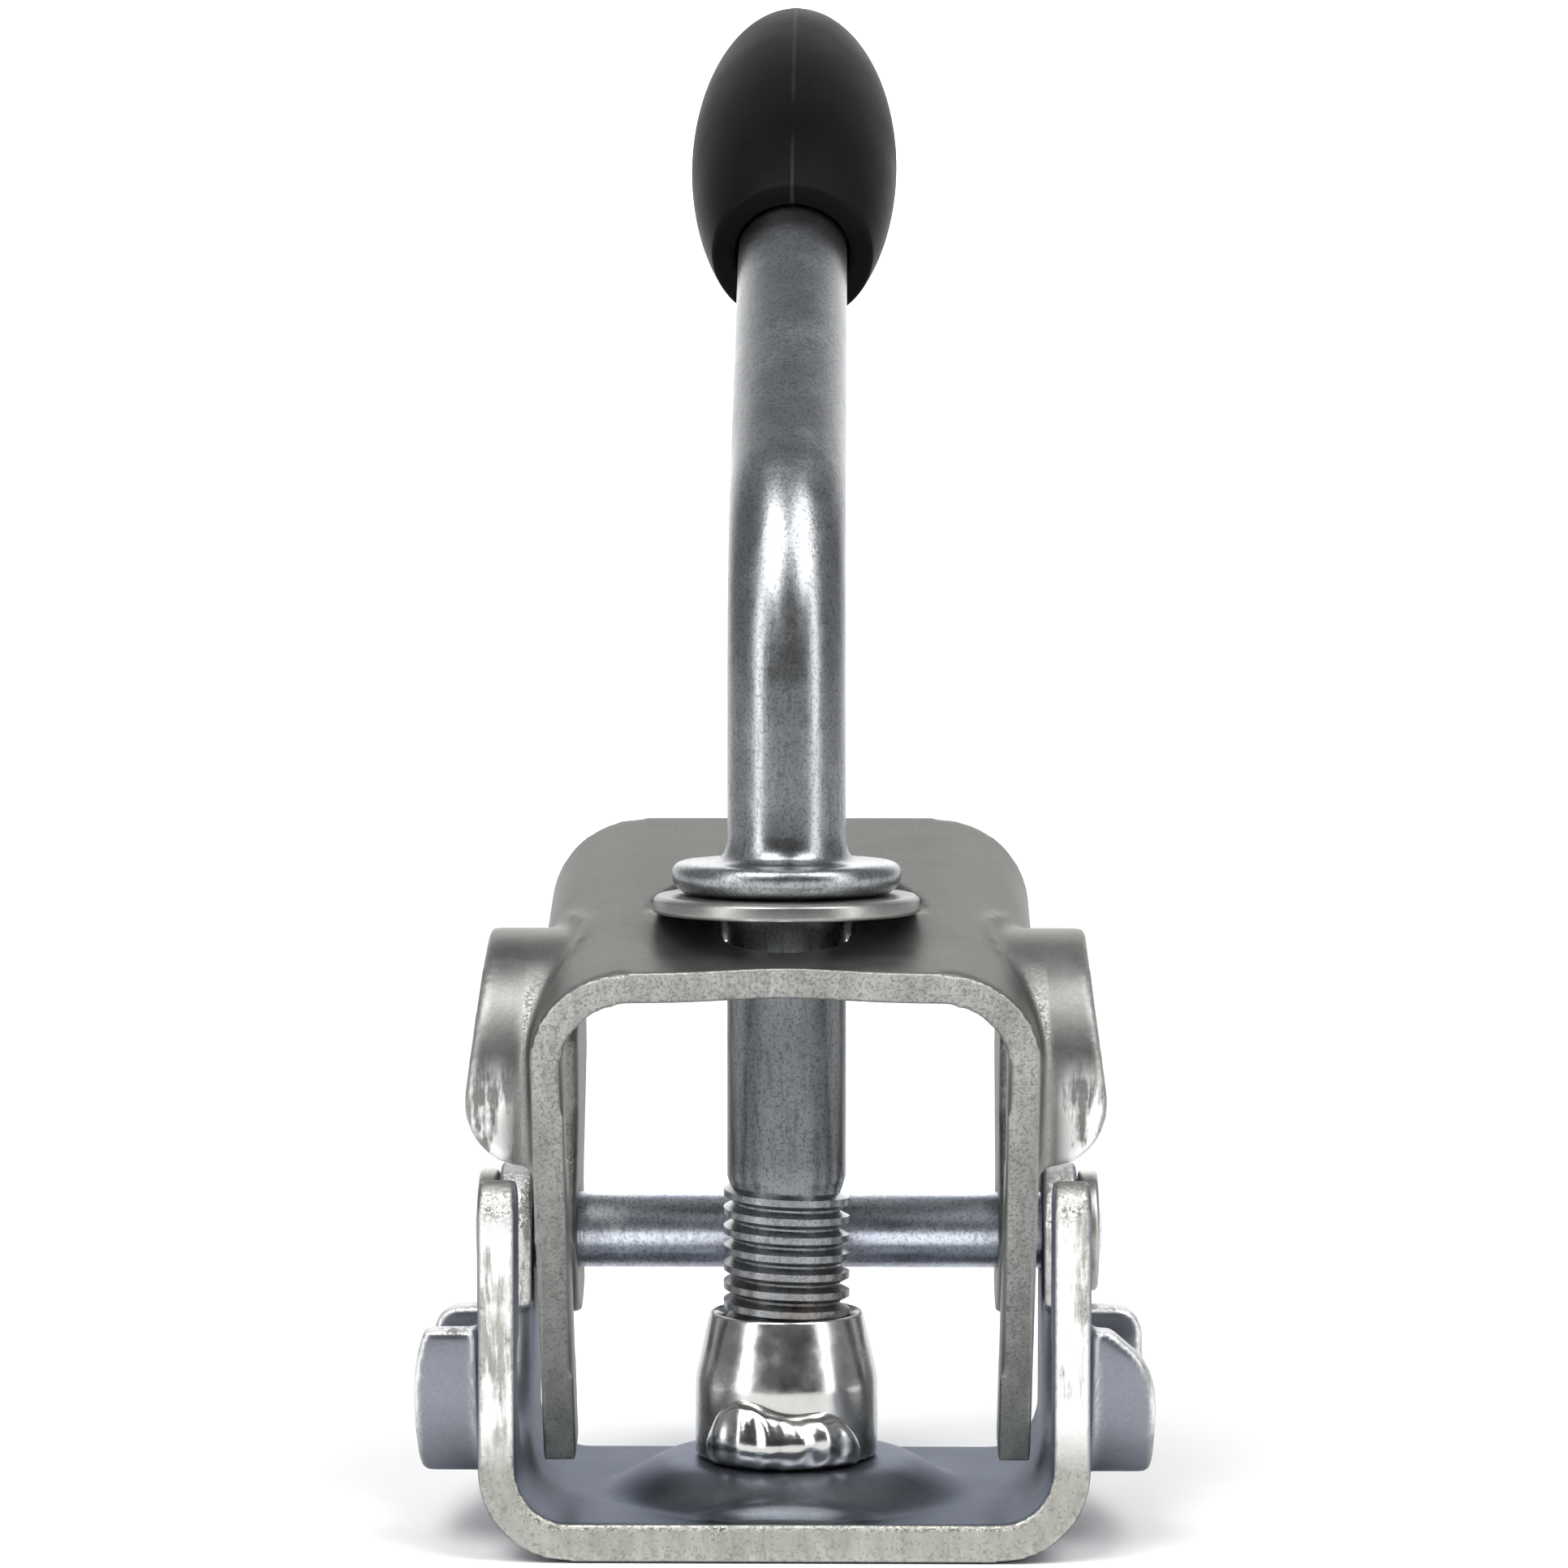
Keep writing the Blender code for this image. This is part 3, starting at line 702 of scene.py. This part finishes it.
def upper_side_outline():
    """The upper jaw seen from the side, laid level, in Y and Z."""
    side = [(0, 2), (UPPER_DEPTH, 2), (UPPER_DEPTH, -22), (UPPER_DEPTH - 4, -34)]
    side += arc(UPPER_PIN, 11.5, 10, -150, 24)
    side += [(UPPER_PIN[0] - 10.5, UPPER_PIN[1] + 3)]
    side += [(EAR_CENTRE[0] + EAR_INNER - 4, EAR_CENTRE[1] - 12)]
    side += arc(EAR_CENTRE, EAR_INNER, 0, 180, 40)
    side += [(UPPER_LEG, -UPPER_DROP - 2), (0, -UPPER_DROP - 2)]
    return side


def ear_stations():
    """Stations of the upper flange, from its front tail over the arch to the back."""
    tail = [(UPPER_LEG, EAR_CENTRE[1] - EAR_TAIL * (1 - i / 12), -1, 0) for i in range(12)]
    return tail + arch_stations(EAR_CENTRE, EAR_INNER, -3)


def ear_reach(share):
    """How far out the upper flange goes: rounded at its tail, and a little shorter on top."""
    top = math.sin(math.pi * min(max((share - 0.2) / 0.8, 0), 1)) * 2.2
    rounding = quarter_round(share / 0.2, 7.8) + quarter_round((1 - share) / 0.08, 2.5)
    return EAR_REACH - rounding - top


def upper_cut_share(point, normal):
    """Sheared edges of the upper jaw: its ends, its legs' edges and the flanges' outer edges."""
    x, y, z = point
    if abs(x) > UPPER_HALF + 1.0:
        tail = abs(normal.z) if z < EAR_CENTRE[1] - EAR_TAIL + 1 else 0.0
        return max(abs(normal.x), tail)
    if z > -UPPER_BEND + 4:
        return abs(normal.y)
    return 1 - abs(normal.x)


def press_web(piece):
    """Lift the front lip of the web and sink shallow hollows beside the slot."""
    for vertex in piece.data.vertices:
        x, y, z = vertex.co / MM
        if z < -8:
            continue
        lip = LIP_LIFT * math.exp(-(x / 11.0) ** 2) * math.exp(-max(y, 0) / 6.0)
        hollow = math.exp(-((abs(x) - 13.0) / 6.0) ** 2) * math.exp(-((y - 12.0) / 6.0) ** 2)
        hollow *= HOLLOW_DEPTH
        vertex.co.z += (lip - hollow) * MM


class CLAMP_OT_upper_jaw(bpy.types.Operator):
    """Press the upper jaw: web with its slot and seat, long legs, ears and eyes for the pin"""
    bl_idname = "clamp.upper_jaw"
    bl_label = "Upper Jaw"

    def execute(self, context):
        sizes, colours = context.scene.clamp_jaws, context.scene.clamp_colours
        thick = sizes.upper_thick / MM
        root = sizes.flange_root / MM
        tip = Matrix.Translation((0, PIN_CENTRE.y, PIN_CENTRE.z))
        tip @= Matrix.Rotation(sizes.upper_tilt, 4, "X")
        tip @= Matrix.Translation((0, -UPPER_PIN[0] * MM, -UPPER_PIN[1] * MM))
        level = tip.inverted()
        relief = arc(EAR_CENTRE, EAR_INNER + root + 0.6, 0, 180, 40)
        relief_tail = EAR_CENTRE[1] - EAR_TAIL
        relief += [(UPPER_LEG - root - 0.6, relief_tail), (EAR_CENTRE[0], relief_tail)]
        jaw, bm = press_channel(
            "upper_jaw_plate", channel(UPPER_HALF, UPPER_HALF_FOOT, UPPER_DROP, UPPER_BEND, thick),
            (0, UPPER_DEPTH), upper_side_outline(),
            relief, (UPPER_HALF - thick - 1.2, UPPER_HALF + 2), UPPER_PIN)

        def walls(z):
            inner = bent_wall(UPPER_HALF - thick, UPPER_BEND - thick, -z - thick)
            return inner - 0.2, bent_wall(UPPER_HALF, UPPER_BEND, -z) - 0.2

        for side in (-1, 1):
            flange(bm, ear_stations(), side, walls, thick, root, ear_reach)
        seat_z = WASHER_LOW.z / MM - POCKET_DROP
        bm.from_mesh(self.pocket_floor(seat_z, thick, level))
        jaw.data = mesh_from("upper_jaw_plate", bm)
        pocket_cut = cutter(disc((0, 0), POCKET_RADIUS, 64), "Z", seat_z, seat_z + 18)
        slot = arc((0, SLOT_ENDS[1]), SLOT_HALF, 0, 180, 24)
        slot += arc((0, SLOT_ENDS[0]), SLOT_HALF, 180, 360, 24)
        slot_cut = cutter(slot, "Z", 60, 110)
        for tool in (pocket_cut, slot_cut):
            tool.data.transform(level)
        skinned(jaw, sizes.skin, 0)
        cut(jaw, pocket_cut)
        cut(jaw, slot_cut)
        skinned(jaw, sizes.skin)
        press_web(jaw)
        mark_cut_edges(jaw, upper_cut_share)
        jaw.data.transform(tip)
        # Streaky near-white patches on the ears' lower halves are a painted reflection of the bright
        # floor.
        finish = plate_zinc("mottled_satin_zinc", colours.upper_zinc, colours.upper_cut, 0.22, 0.42,
                            bare_metal_and_reflection=(36 * MM, 40 * MM, 62 * MM, 0.9), grazing=(0.75, 0.76, 0.74),
                            calm=11 * MM)
        dress(jaw, "upper_jaw", ["upper_jaw"], finish)
        return {"FINISHED"}

    def pocket_floor(self, seat_z, thick, level):
        """The level seat for the washer, kept below the web's top."""
        seat = cutter(disc((0, 0), POCKET_RADIUS + 2.5, 64), "Z", seat_z - thick, seat_z)
        seat.data.transform(level)
        below_web = [(-20, -30), (90, -30), (90, -0.05), (-20, -0.05)]
        cut(seat, cutter(below_web, "X", -40, 40), "INTERSECT")
        mesh = seat.data
        bpy.data.objects.remove(seat, do_unlink=True)
        return mesh


# Hinge pin and its rings

PIN_BRIGHTER = 3.3


class CLAMP_OT_hinge_pin(bpy.types.Operator):
    """Turn the hinge pin with peened ends, and the ring at each end"""
    bl_idname = "clamp.hinge_pin"
    bl_label = "Hinge Pin"

    def execute(self, context):
        colours = context.scene.clamp_colours
        across = Matrix.Translation(PIN_CENTRE) @ Matrix.Rotation(math.pi / 2, 4, "Y")
        radius = PIN_RADIUS / MM
        end = PIN_HIGH.x / MM
        rise = 1.1
        dome = [(0, end), (radius * 0.45, end - 0.08), (radius * 0.8, end - 0.45), (radius, end - rise)]
        far_dome = [(r, -z) for r, z in reversed(dome)]
        plain_bar = [(radius, (end - rise) * (1 - i / 6)) for i in range(1, 12)]
        pin = spin("hinge_pin_bar", dome + plain_bar + far_dome, 48, across)
        steel = bar_zinc("pin_zinc_plate", times(colours.lower_zinc, PIN_BRIGHTER), colours.rust, 0.3)
        dress(pin, "lower_jaw", ["hinge_pin"], steel)
        inner = radius + 0.3
        outer = (RING_HIGH.z - RING_LOW.z) / 2 / MM
        low, high = RING_LOW.x / MM, RING_HIGH.x / MM
        run = [(inner, (low + high) / 2), (inner, high), (outer, high), (outer, low), (inner, low)]
        section = rounded(run, 0.7)[:-1]
        ring_steel = plate_zinc("ring_zinc_plate", colours.upper_cut, colours.lower_cut, 0.12, 0.38)
        for name, side in (("right", 1), ("left", -1)):
            flip = Matrix.Translation(PIN_CENTRE) @ Matrix.Rotation(math.pi * (1 - side) / 2, 4, "Z")
            place = flip @ Matrix.Rotation(math.pi / 2, 4, "Y")
            ring = spin("pin_ring_" + name, section, 64, place)
            dress(ring, "lower_jaw", ["retainer_" + name], ring_steel)
        return {"FINISHED"}


# Nut and welds

NUT_BORE = 8.9

# Each bead's name, the angle of its middle, its spread in degrees, its width and its height
BEADS = (("front", 268, 108, 4.6, 9.4), ("rear", 52, 52, 3.0, 6.0))


class CLAMP_OT_nut_and_welds(bpy.types.Operator):
    """Turn the tapered nut and lay the weld beads at its foot"""
    bl_idname = "clamp.nut_and_welds"
    bl_label = "Nut and Welds"

    def execute(self, context):
        colours = context.scene.clamp_colours
        foot, top = NUT_LOW.z / MM, NUT_HIGH.z / MM
        outer = (NUT_HIGH.x - NUT_LOW.x) / 2 / MM
        run = [
            (NUT_BORE, (foot + top) / 2), (NUT_BORE, top - 0.9), (9.6, top), (10.3, top),
            (outer - 0.25, top - 7.7), (outer, top - 9.2), (outer, foot), (NUT_BORE, foot),
            (NUT_BORE, (foot + top) / 2 - 0.1),
        ]
        nut = spin("nut_body", rounded(run, 0.55), 96)
        steel = bright_steel("bright_nut_steel", colours.bright_steel, colours.rust, 0.2, 300)
        dress(nut, "lower_jaw", ["weld_nut"], steel)
        melted = bright_steel("melted_weld_steel", colours.bright_steel, colours.rust, 0.15, 150)
        for name, *shape in BEADS:
            bead = self.lay_bead("weld_" + name, outer, foot - 0.4, *shape)
            dress(bead, "lower_jaw", ["weld_bead_" + name], melted)
        return {"FINISHED"}

    def lay_bead(self, name, radius, foot, middle, spread, width, height):
        """A heap of weld against the nut's foot, with curved ripples where the pool froze."""
        bm = bmesh.new()
        loops = []
        stations = 120
        for i in range(stations + 1):
            share = i / stations
            angle = math.radians(middle + spread * (share - 0.5))
            swell = math.sqrt(max(0.0, 1 - abs(2 * share - 1) ** 2.6)) * 0.97 + 0.03
            crown = height * swell * (1.08 - 0.3 * share + 0.1 * math.sin(9 * share))
            loop = []
            for j in range(28):
                around = math.pi * (j / 27 - 0.5)
                lump = noise.noise((share * 3, around, 5)) * 0.9 * swell
                freeze = 0.2 * swell * math.sin(share * spread * 0.42 + 2.2 * around * around)
                out = width * swell * math.cos(around) ** 0.8 + (lump + freeze) * math.cos(around)
                rise = foot + crown * (0.5 + 0.5 * math.sin(around)) + 0.5 * lump
                distance = radius - 1.0 + out
                point = (distance * math.cos(angle), distance * math.sin(angle), rise)
                loop.append([value * MM for value in point])
            loops.append(loop)
        ring_loft(bm, loops)
        bead = new_piece(name, mesh_from(name, bm))
        return skinned(bead, 0.3 * MM, 3)


# Washer

WASHER_HOLE = 8.6


class CLAMP_OT_thrust_washer(bpy.types.Operator):
    """Press the flat washer, with one rolled-over edge and one sharp one"""
    bl_idname = "clamp.thrust_washer"
    bl_label = "Thrust Washer"

    def execute(self, context):
        colours = context.scene.clamp_colours
        low, high = WASHER_LOW.z / MM, WASHER_HIGH.z / MM
        outer = WASHER_HIGH.x / MM
        run = [
            (WASHER_HOLE, (low + high) / 2), (WASHER_HOLE, high - 0.25), (8.9, high),
            (outer - 0.7, high), (outer - 0.1, high - 0.5), (outer, low + 0.35), (outer - 0.35, low),
            (9.2, low), (WASHER_HOLE, low + 0.6), (WASHER_HOLE, (low + high) / 2 - 0.05),
        ]
        washer = spin("washer_plate", rounded(run, 0.25), 128)
        base = times(colours.upper_zinc, 1.35)
        steel = plate_zinc("washer_zinc_plate", base, colours.upper_cut, 0.14, 0.36)
        dress(washer, "thrust_washer", ["thrust_washer"], steel)
        return {"FINISHED"}


# Screw, thread and lever

COLLAR_GAP = 0.3 * MM
BAR_IN_KNOB = 43 * MM
THREAD_SUNK = 0.25 * MM
THREAD_FOOT = 0.98
THREAD_CREST = 0.36

# The collar's outline, as height above its underside and radius
COLLAR = (
    (0.0, 8.2), (0.0, 13.6), (0.15, 14.1), (0.5, 14.6), (1.1, 15.1), (1.8, 15.4), (2.5, 15.5),
    (3.1, 15.42), (3.6, 15.15), (3.95, 14.7), (4.15, 14.1), (4.2, 13.3), (4.15, 10.6), (4.3, 9.6),
    (4.7, 8.9), (5.4, 8.4), (6.6, 8.1), (8.0, 8.0),
)


def on_bend(sizes, angle):
    """Where the bar's middle is at some angle of the bend, and which way the bar points."""
    radius = sizes.bend_radius
    place = Vector((0, radius * (1 - math.cos(angle)), sizes.bend_start + radius * math.sin(angle)))
    return place, Vector((0, math.sin(angle), math.cos(angle)))


def thread_tree():
    """Geometry nodes that wind one thread ridge up the screw."""
    tree = bpy.data.node_groups.new("thread_ridge", "GeometryNodeTree")
    face = tree.interface
    face.new_socket("Geometry", in_out="OUTPUT", socket_type="NodeSocketGeometry")
    for name in ("Root Radius", "Crest Radius", "Pitch", "Turns", "Start Height"):
        face.new_socket(name, in_out="INPUT", socket_type="NodeSocketFloat")
    face.new_socket("Material", in_out="INPUT", socket_type="NodeSocketMaterial")
    inputs = tree.nodes.new("NodeGroupInput").outputs

    def add(kind, sources=None, **settings):
        return add_node(tree, kind, sources, **settings)

    def maths(operation, first, second):
        return maths_node(tree, operation, first, second)

    pitch = inputs["Pitch"]
    sunk = maths("SUBTRACT", inputs["Root Radius"], THREAD_SUNK)
    depth = maths("SUBTRACT", inputs["Crest Radius"], sunk)
    spiral = add("GeometryNodeCurveSpiral", {
        "Start Radius": sunk, "End Radius": sunk, "Rotations": inputs["Turns"],
        "Height": maths("MULTIPLY", pitch, inputs["Turns"]), "Resolution": 64})
    straight = add("GeometryNodeSetCurveNormal", {"Curve": spiral.outputs["Curve"]}, mode="Z_UP")
    profile = add("GeometryNodeCurvePrimitiveQuadrilateral", {
        "Bottom Width": maths("MULTIPLY", pitch, THREAD_FOOT),
        "Top Width": maths("MULTIPLY", pitch, THREAD_CREST),
        "Height": depth, "Offset": 0.0}, mode="TRAPEZOID")
    shift = add("ShaderNodeCombineXYZ", {"Y": maths("MULTIPLY", depth, 0.5)})
    lift = add("GeometryNodeTransform", {
        "Geometry": profile.outputs["Curve"], "Translation": shift.outputs["Vector"]})
    turn = add("GeometryNodeTransform", {
        "Geometry": lift.outputs["Geometry"], "Rotation": (0, 0, math.pi / 2)})
    sweep = add("GeometryNodeCurveToMesh", {
        "Curve": straight.outputs["Curve"], "Profile Curve": turn.outputs["Geometry"],
        "Fill Caps": True})
    raised = add("ShaderNodeCombineXYZ", {"Z": inputs["Start Height"]})
    place = add("GeometryNodeTransform", {
        "Geometry": sweep.outputs["Mesh"], "Translation": raised.outputs["Vector"]})
    real = add("GeometryNodeRealizeInstances", {"Geometry": place.outputs["Geometry"]})
    painted = add("GeometryNodeSetMaterial", {
        "Geometry": real.outputs["Geometry"], "Material": inputs["Material"]})
    add("NodeGroupOutput", {"Geometry": painted.outputs["Geometry"]})
    return tree


def set_inputs(modifier, values):
    """Set a node tree's inputs by their sockets' identifiers."""
    for item in modifier.node_group.interface.items_tree:
        if item.item_type == "SOCKET" and item.in_out == "INPUT" and item.name in values:
            modifier[item.identifier] = values[item.name]


class CLAMP_OT_screw(bpy.types.Operator):
    """Forge the screw: thread core, shank, collar, bend and grip, then wind its thread"""
    bl_idname = "clamp.screw"
    bl_label = "Screw and Lever"

    def execute(self, context):
        sizes, colours = context.scene.clamp_screw, context.scene.clamp_colours
        bm = bmesh.new()
        ring_loft(bm, self.rings(sizes))
        bar = new_piece("screw_bar", mesh_from("screw_bar", bm))
        steel = bar_zinc("drawn_bar_zinc", colours.bar_zinc, colours.rust, 0.3)
        dress(bar, "screw", ["screw_lever"], steel)
        bar.data.set_sharp_from_angle(angle=math.radians(50))
        ridge = new_piece("screw_thread", bpy.data.meshes.new("screw_thread"))
        winding = ridge.modifiers.new("thread", "NODES")
        winding.node_group = thread_tree()
        start = SCREW_LOW.z + 2.0 * MM
        set_inputs(winding, {
            "Root Radius": sizes.thread_root, "Crest Radius": sizes.thread_crest,
            "Pitch": sizes.pitch, "Turns": (sizes.thread_top - 1.2 * MM - start) / sizes.pitch,
            "Start Height": start, "Material": steel})
        bake(ridge)
        dress(ridge, "screw", [])
        ridge.data.set_sharp_from_angle(angle=math.radians(30))
        return {"FINISHED"}

    def rings(self, sizes):
        """Rings of the bar from its tip to the end inside the knob, in metres."""
        collar_low = WASHER_HIGH.z + COLLAR_GAP
        shank, core = sizes.shank, sizes.thread_root
        low = SCREW_LOW.z
        shape = [
            (low, core - 1.2 * MM), (low + 1.2 * MM, core), (sizes.thread_top - 1.5 * MM, core),
            (sizes.thread_top, shank - 0.25 * MM), (sizes.thread_top + 0.8 * MM, shank),
            (collar_low - 0.2 * MM, shank),
        ]
        shape += [(collar_low + z * MM, r * MM) for z, r in COLLAR]
        climb = shape[-1][0]
        shape += [(climb + (sizes.bend_start - climb) * i / 5, shank) for i in range(1, 6)]
        rings = [(Vector((0, 0, z)), Vector((0, 0, 1)), r, r) for z, r in shape]
        bend_steps = 36
        for i in range(1, bend_steps + 1):
            pinch = 1 - 0.03 * math.sin(math.pi * i / bend_steps)
            rings.append((*on_bend(sizes, sizes.bend_angle * i / bend_steps), shank, shank * pinch))
        end, along = on_bend(sizes, sizes.bend_angle)
        reach = sizes.grip_length + BAR_IN_KNOB
        rings += [(end + along * reach * i / 12, along, shank, shank) for i in range(1, 13)]
        side = Vector((1, 0, 0))
        angles = [math.tau * i / sizes.steps for i in range(sizes.steps)]
        return [[centre + side * math.cos(a) * across + along.cross(side) * math.sin(a) * deep
                 for a in angles] for centre, along, across, deep in rings]


# Knob: part of an egg, cut off square at its mouth

KNOB_RADIUS = 15.5
KNOB_HALF_LENGTH = 41.6
KNOB_MIDDLE = 27.0
KNOB_BORE = 8.3
KNOB_BORE_DEPTH = 46.0
SEAM_HALF_WIDTH = 0.35 * MM
SEAM_RISE = 0.16


class CLAMP_OT_knob(bpy.types.Operator):
    """Mould the egg-shaped knob, with its flat mouth ring and a faint parting line"""
    bl_idname = "clamp.knob"
    bl_label = "Knob"

    def execute(self, context):
        sizes, colours = context.scene.clamp_screw, context.scene.clamp_colours
        end, along = on_bend(sizes, sizes.bend_angle)
        turn = Vector((0, 0, 1)).rotation_difference(along).to_matrix().to_4x4()
        place = Matrix.Translation(end + along * sizes.grip_length) @ turn
        steps = 40
        mouth = math.pi / 2 + math.asin((KNOB_MIDDLE - 0.5) / KNOB_HALF_LENGTH)
        angles = [mouth * i / steps for i in range(steps + 1)]
        section = [(KNOB_RADIUS * math.sin(a), KNOB_MIDDLE + KNOB_HALF_LENGTH * math.cos(a))
                   for a in angles]
        rim = section[-1][0]
        section += [(rim - 0.12, 0.2), (rim - 0.4, 0.04), (rim - 0.8, 0.0), (9.5, 0.0), (8.8, 0.05)]
        section += [(8.5, 0.25), (8.35, 0.7), (KNOB_BORE, 2.5)]
        section += [(KNOB_BORE, KNOB_BORE_DEPTH), (0, KNOB_BORE_DEPTH)]
        knob = spin("knob_grip", section, 96)
        for vertex in knob.data.vertices:
            across = math.hypot(vertex.co.x, vertex.co.y)
            if across < 10.9 * MM and vertex.co.z < 50 * MM:
                continue
            line = math.exp(-(vertex.co.x / SEAM_HALF_WIDTH) ** 2)
            if across > 1e-6:
                vertex.co += Vector((vertex.co.x, vertex.co.y, 0)) / across * SEAM_RISE * MM * line
        knob.data.transform(place)
        smooth = knob.modifiers.new("soften", "SUBSURF")
        smooth.levels = 1
        smooth.render_levels = 1
        bake(knob)
        plastic = knob_plastic("black_knob_plastic", colours.knob)
        dress(knob, "screw", ["knob"], plastic)
        return {"FINISHED"}


# Stage, in metres

FLOOR_HALF_WIDTH = 4.0
FLOOR_FRONT = -3.0
COVE_START = 1.6
COVE_RADIUS = 1.2
BACKDROP_TOP = 4.0
FLOOR_GAP = 0.0002
CLAMP_MIDDLE = (0, 0.02, 0.1)

# Each softbox's name, place, aim, width, height and power in watts
SOFTBOXES = (
    ("left_softbox", (-0.78, -0.55, 0.3), CLAMP_MIDDLE, 0.22, 0.8, 3),
    ("right_softbox", (0.8, -0.5, 0.3), CLAMP_MIDDLE, 0.2, 0.8, 2.5),
    ("left_key", (-0.46, -0.6, 1.15), CLAMP_MIDDLE, 0.7, 0.8, 13),
    ("right_key", (0.58, -0.5, 1.15), CLAMP_MIDDLE, 0.6, 0.8, 10),
    ("backdrop_light", (0, 1.1, 1.8), (0, 2.7, 1.2), 2.5, 0.8, 90),
)

SKY_COLOUR = (0.92, 0.95, 1.0)
SKY_FRONT = 0.06
SKY_BACK = 0.34
CAMERA_PLACE = (0.0088, -0.675, 0.1374)
CAMERA_DOWN = math.radians(3.15)
CAMERA_ASIDE = math.radians(0.776)
CAMERA_LENS = 115.5


def softbox(name, place, aim, width, height, power):
    data = bpy.data.lights.new(name, "AREA")
    data.shape = "RECTANGLE"
    data.size, data.size_y, data.energy = width, height, power
    lamp = bpy.data.objects.new(name, data)
    lamp.location = place
    lamp.rotation_euler = (Vector(aim) - Vector(place)).to_track_quat("-Z", "Y").to_euler()
    bpy.context.scene.collection.objects.link(lamp)


class CLAMP_OT_stage(bpy.types.Operator):
    """Set the pale floor and backdrop, the soft lights and the camera"""
    bl_idname = "clamp.stage"
    bl_label = "Stage"

    def execute(self, context):
        colours = context.scene.clamp_colours
        outline = [(FLOOR_FRONT, 0.0)]
        outline += arc((COVE_START, COVE_RADIUS), COVE_RADIUS, -90, 0, 24)
        outline += [(COVE_START + COVE_RADIUS, BACKDROP_TOP)]
        bm = bmesh.new()
        sides = (-FLOOR_HALF_WIDTH, FLOOR_HALF_WIDTH)
        rows = [[bm.verts.new((x, y, z)) for x in sides] for y, z in outline]
        for lower, upper in zip(rows, rows[1:]):
            bm.faces.new((lower[0], lower[1], upper[1], upper[0]))
        floor = new_piece("floor", mesh_from("floor", bm))
        floor.data.transform(Matrix.Translation((0, 0, CAD_BOX[0][2] - FLOOR_GAP)))
        floor.data.materials.append(floor_paint("pale_floor", colours.floor))
        for face in floor.data.polygons:
            face.use_smooth = True

        world = context.scene.world or bpy.data.worlds.new("studio")
        context.scene.world = world
        context.scene.view_settings.view_transform = "Standard"
        world.use_nodes = True
        self.shade_sky(world.node_tree)
        for lamp in SOFTBOXES:
            softbox(*lamp)

        camera_data = bpy.data.cameras.new("camera")
        camera_data.sensor_width = 36.0
        camera_data.lens = CAMERA_LENS
        camera_data.clip_start = 0.05
        camera = bpy.data.objects.new("camera", camera_data)
        camera.location = CAMERA_PLACE
        camera.rotation_euler = (math.pi / 2 - CAMERA_DOWN, 0, CAMERA_ASIDE)
        context.scene.collection.objects.link(camera)
        context.scene.camera = camera
        return {"FINISHED"}

    def shade_sky(self, tree):
        """Keep the room dim before the clamp and brighter behind it."""
        place = add_node(tree, "ShaderNodeTexCoord").outputs["Generated"]
        axes = add_node(tree, "ShaderNodeSeparateXYZ", {"Vector": place})
        depth = add_node(tree, "ShaderNodeMapRange", {
            "Value": axes.outputs["Y"], "From Min": -0.8, "From Max": 0.3,
            "To Min": SKY_FRONT, "To Max": SKY_BACK})
        feed(tree, tree.nodes["Background"], {
            "Color": (*SKY_COLOUR, 1), "Strength": depth.outputs["Result"]})


# Panel and registration

OPERATORS = (
    CLAMP_OT_lower_jaw, CLAMP_OT_upper_jaw, CLAMP_OT_hinge_pin, CLAMP_OT_nut_and_welds,
    CLAMP_OT_thrust_washer, CLAMP_OT_screw, CLAMP_OT_knob, CLAMP_OT_stage,
)


class CLAMP_PT_pieces(bpy.types.Panel):
    """Lists the clamp's pieces, sizes and colours"""
    bl_label = "Screw Clamp"
    bl_idname = "CLAMP_PT_pieces"
    bl_space_type = "VIEW_3D"
    bl_region_type = "UI"
    bl_category = "Clamp"

    def draw(self, context):
        layout = self.layout
        for group_name in GROUPS:
            group = getattr(context.scene, group_name)
            column = layout.column(align=True)
            for name in group.__annotations__:
                column.prop(group, name)
        for operator in OPERATORS:
            layout.operator(operator.bl_idname)


GROUPS = {"clamp_jaws": JawSizes, "clamp_screw": ScrewSizes, "clamp_colours": ClampColours}
CLASSES = (*GROUPS.values(), *OPERATORS, CLAMP_PT_pieces)


def register():
    for cls in CLASSES:
        bpy.utils.register_class(cls)
    for name, group in GROUPS.items():
        setattr(bpy.types.Scene, name, PointerProperty(type=group))


def unregister():
    for name in GROUPS:
        delattr(bpy.types.Scene, name)
    for cls in reversed(CLASSES):
        bpy.utils.unregister_class(cls)


def main():
    register()
    bpy.ops.clamp.lower_jaw()
    bpy.ops.clamp.upper_jaw()
    bpy.ops.clamp.hinge_pin()
    bpy.ops.clamp.nut_and_welds()
    bpy.ops.clamp.thrust_washer()
    bpy.ops.clamp.screw()
    bpy.ops.clamp.knob()
    bpy.ops.clamp.stage()


if __name__ == "__main__":
    main()
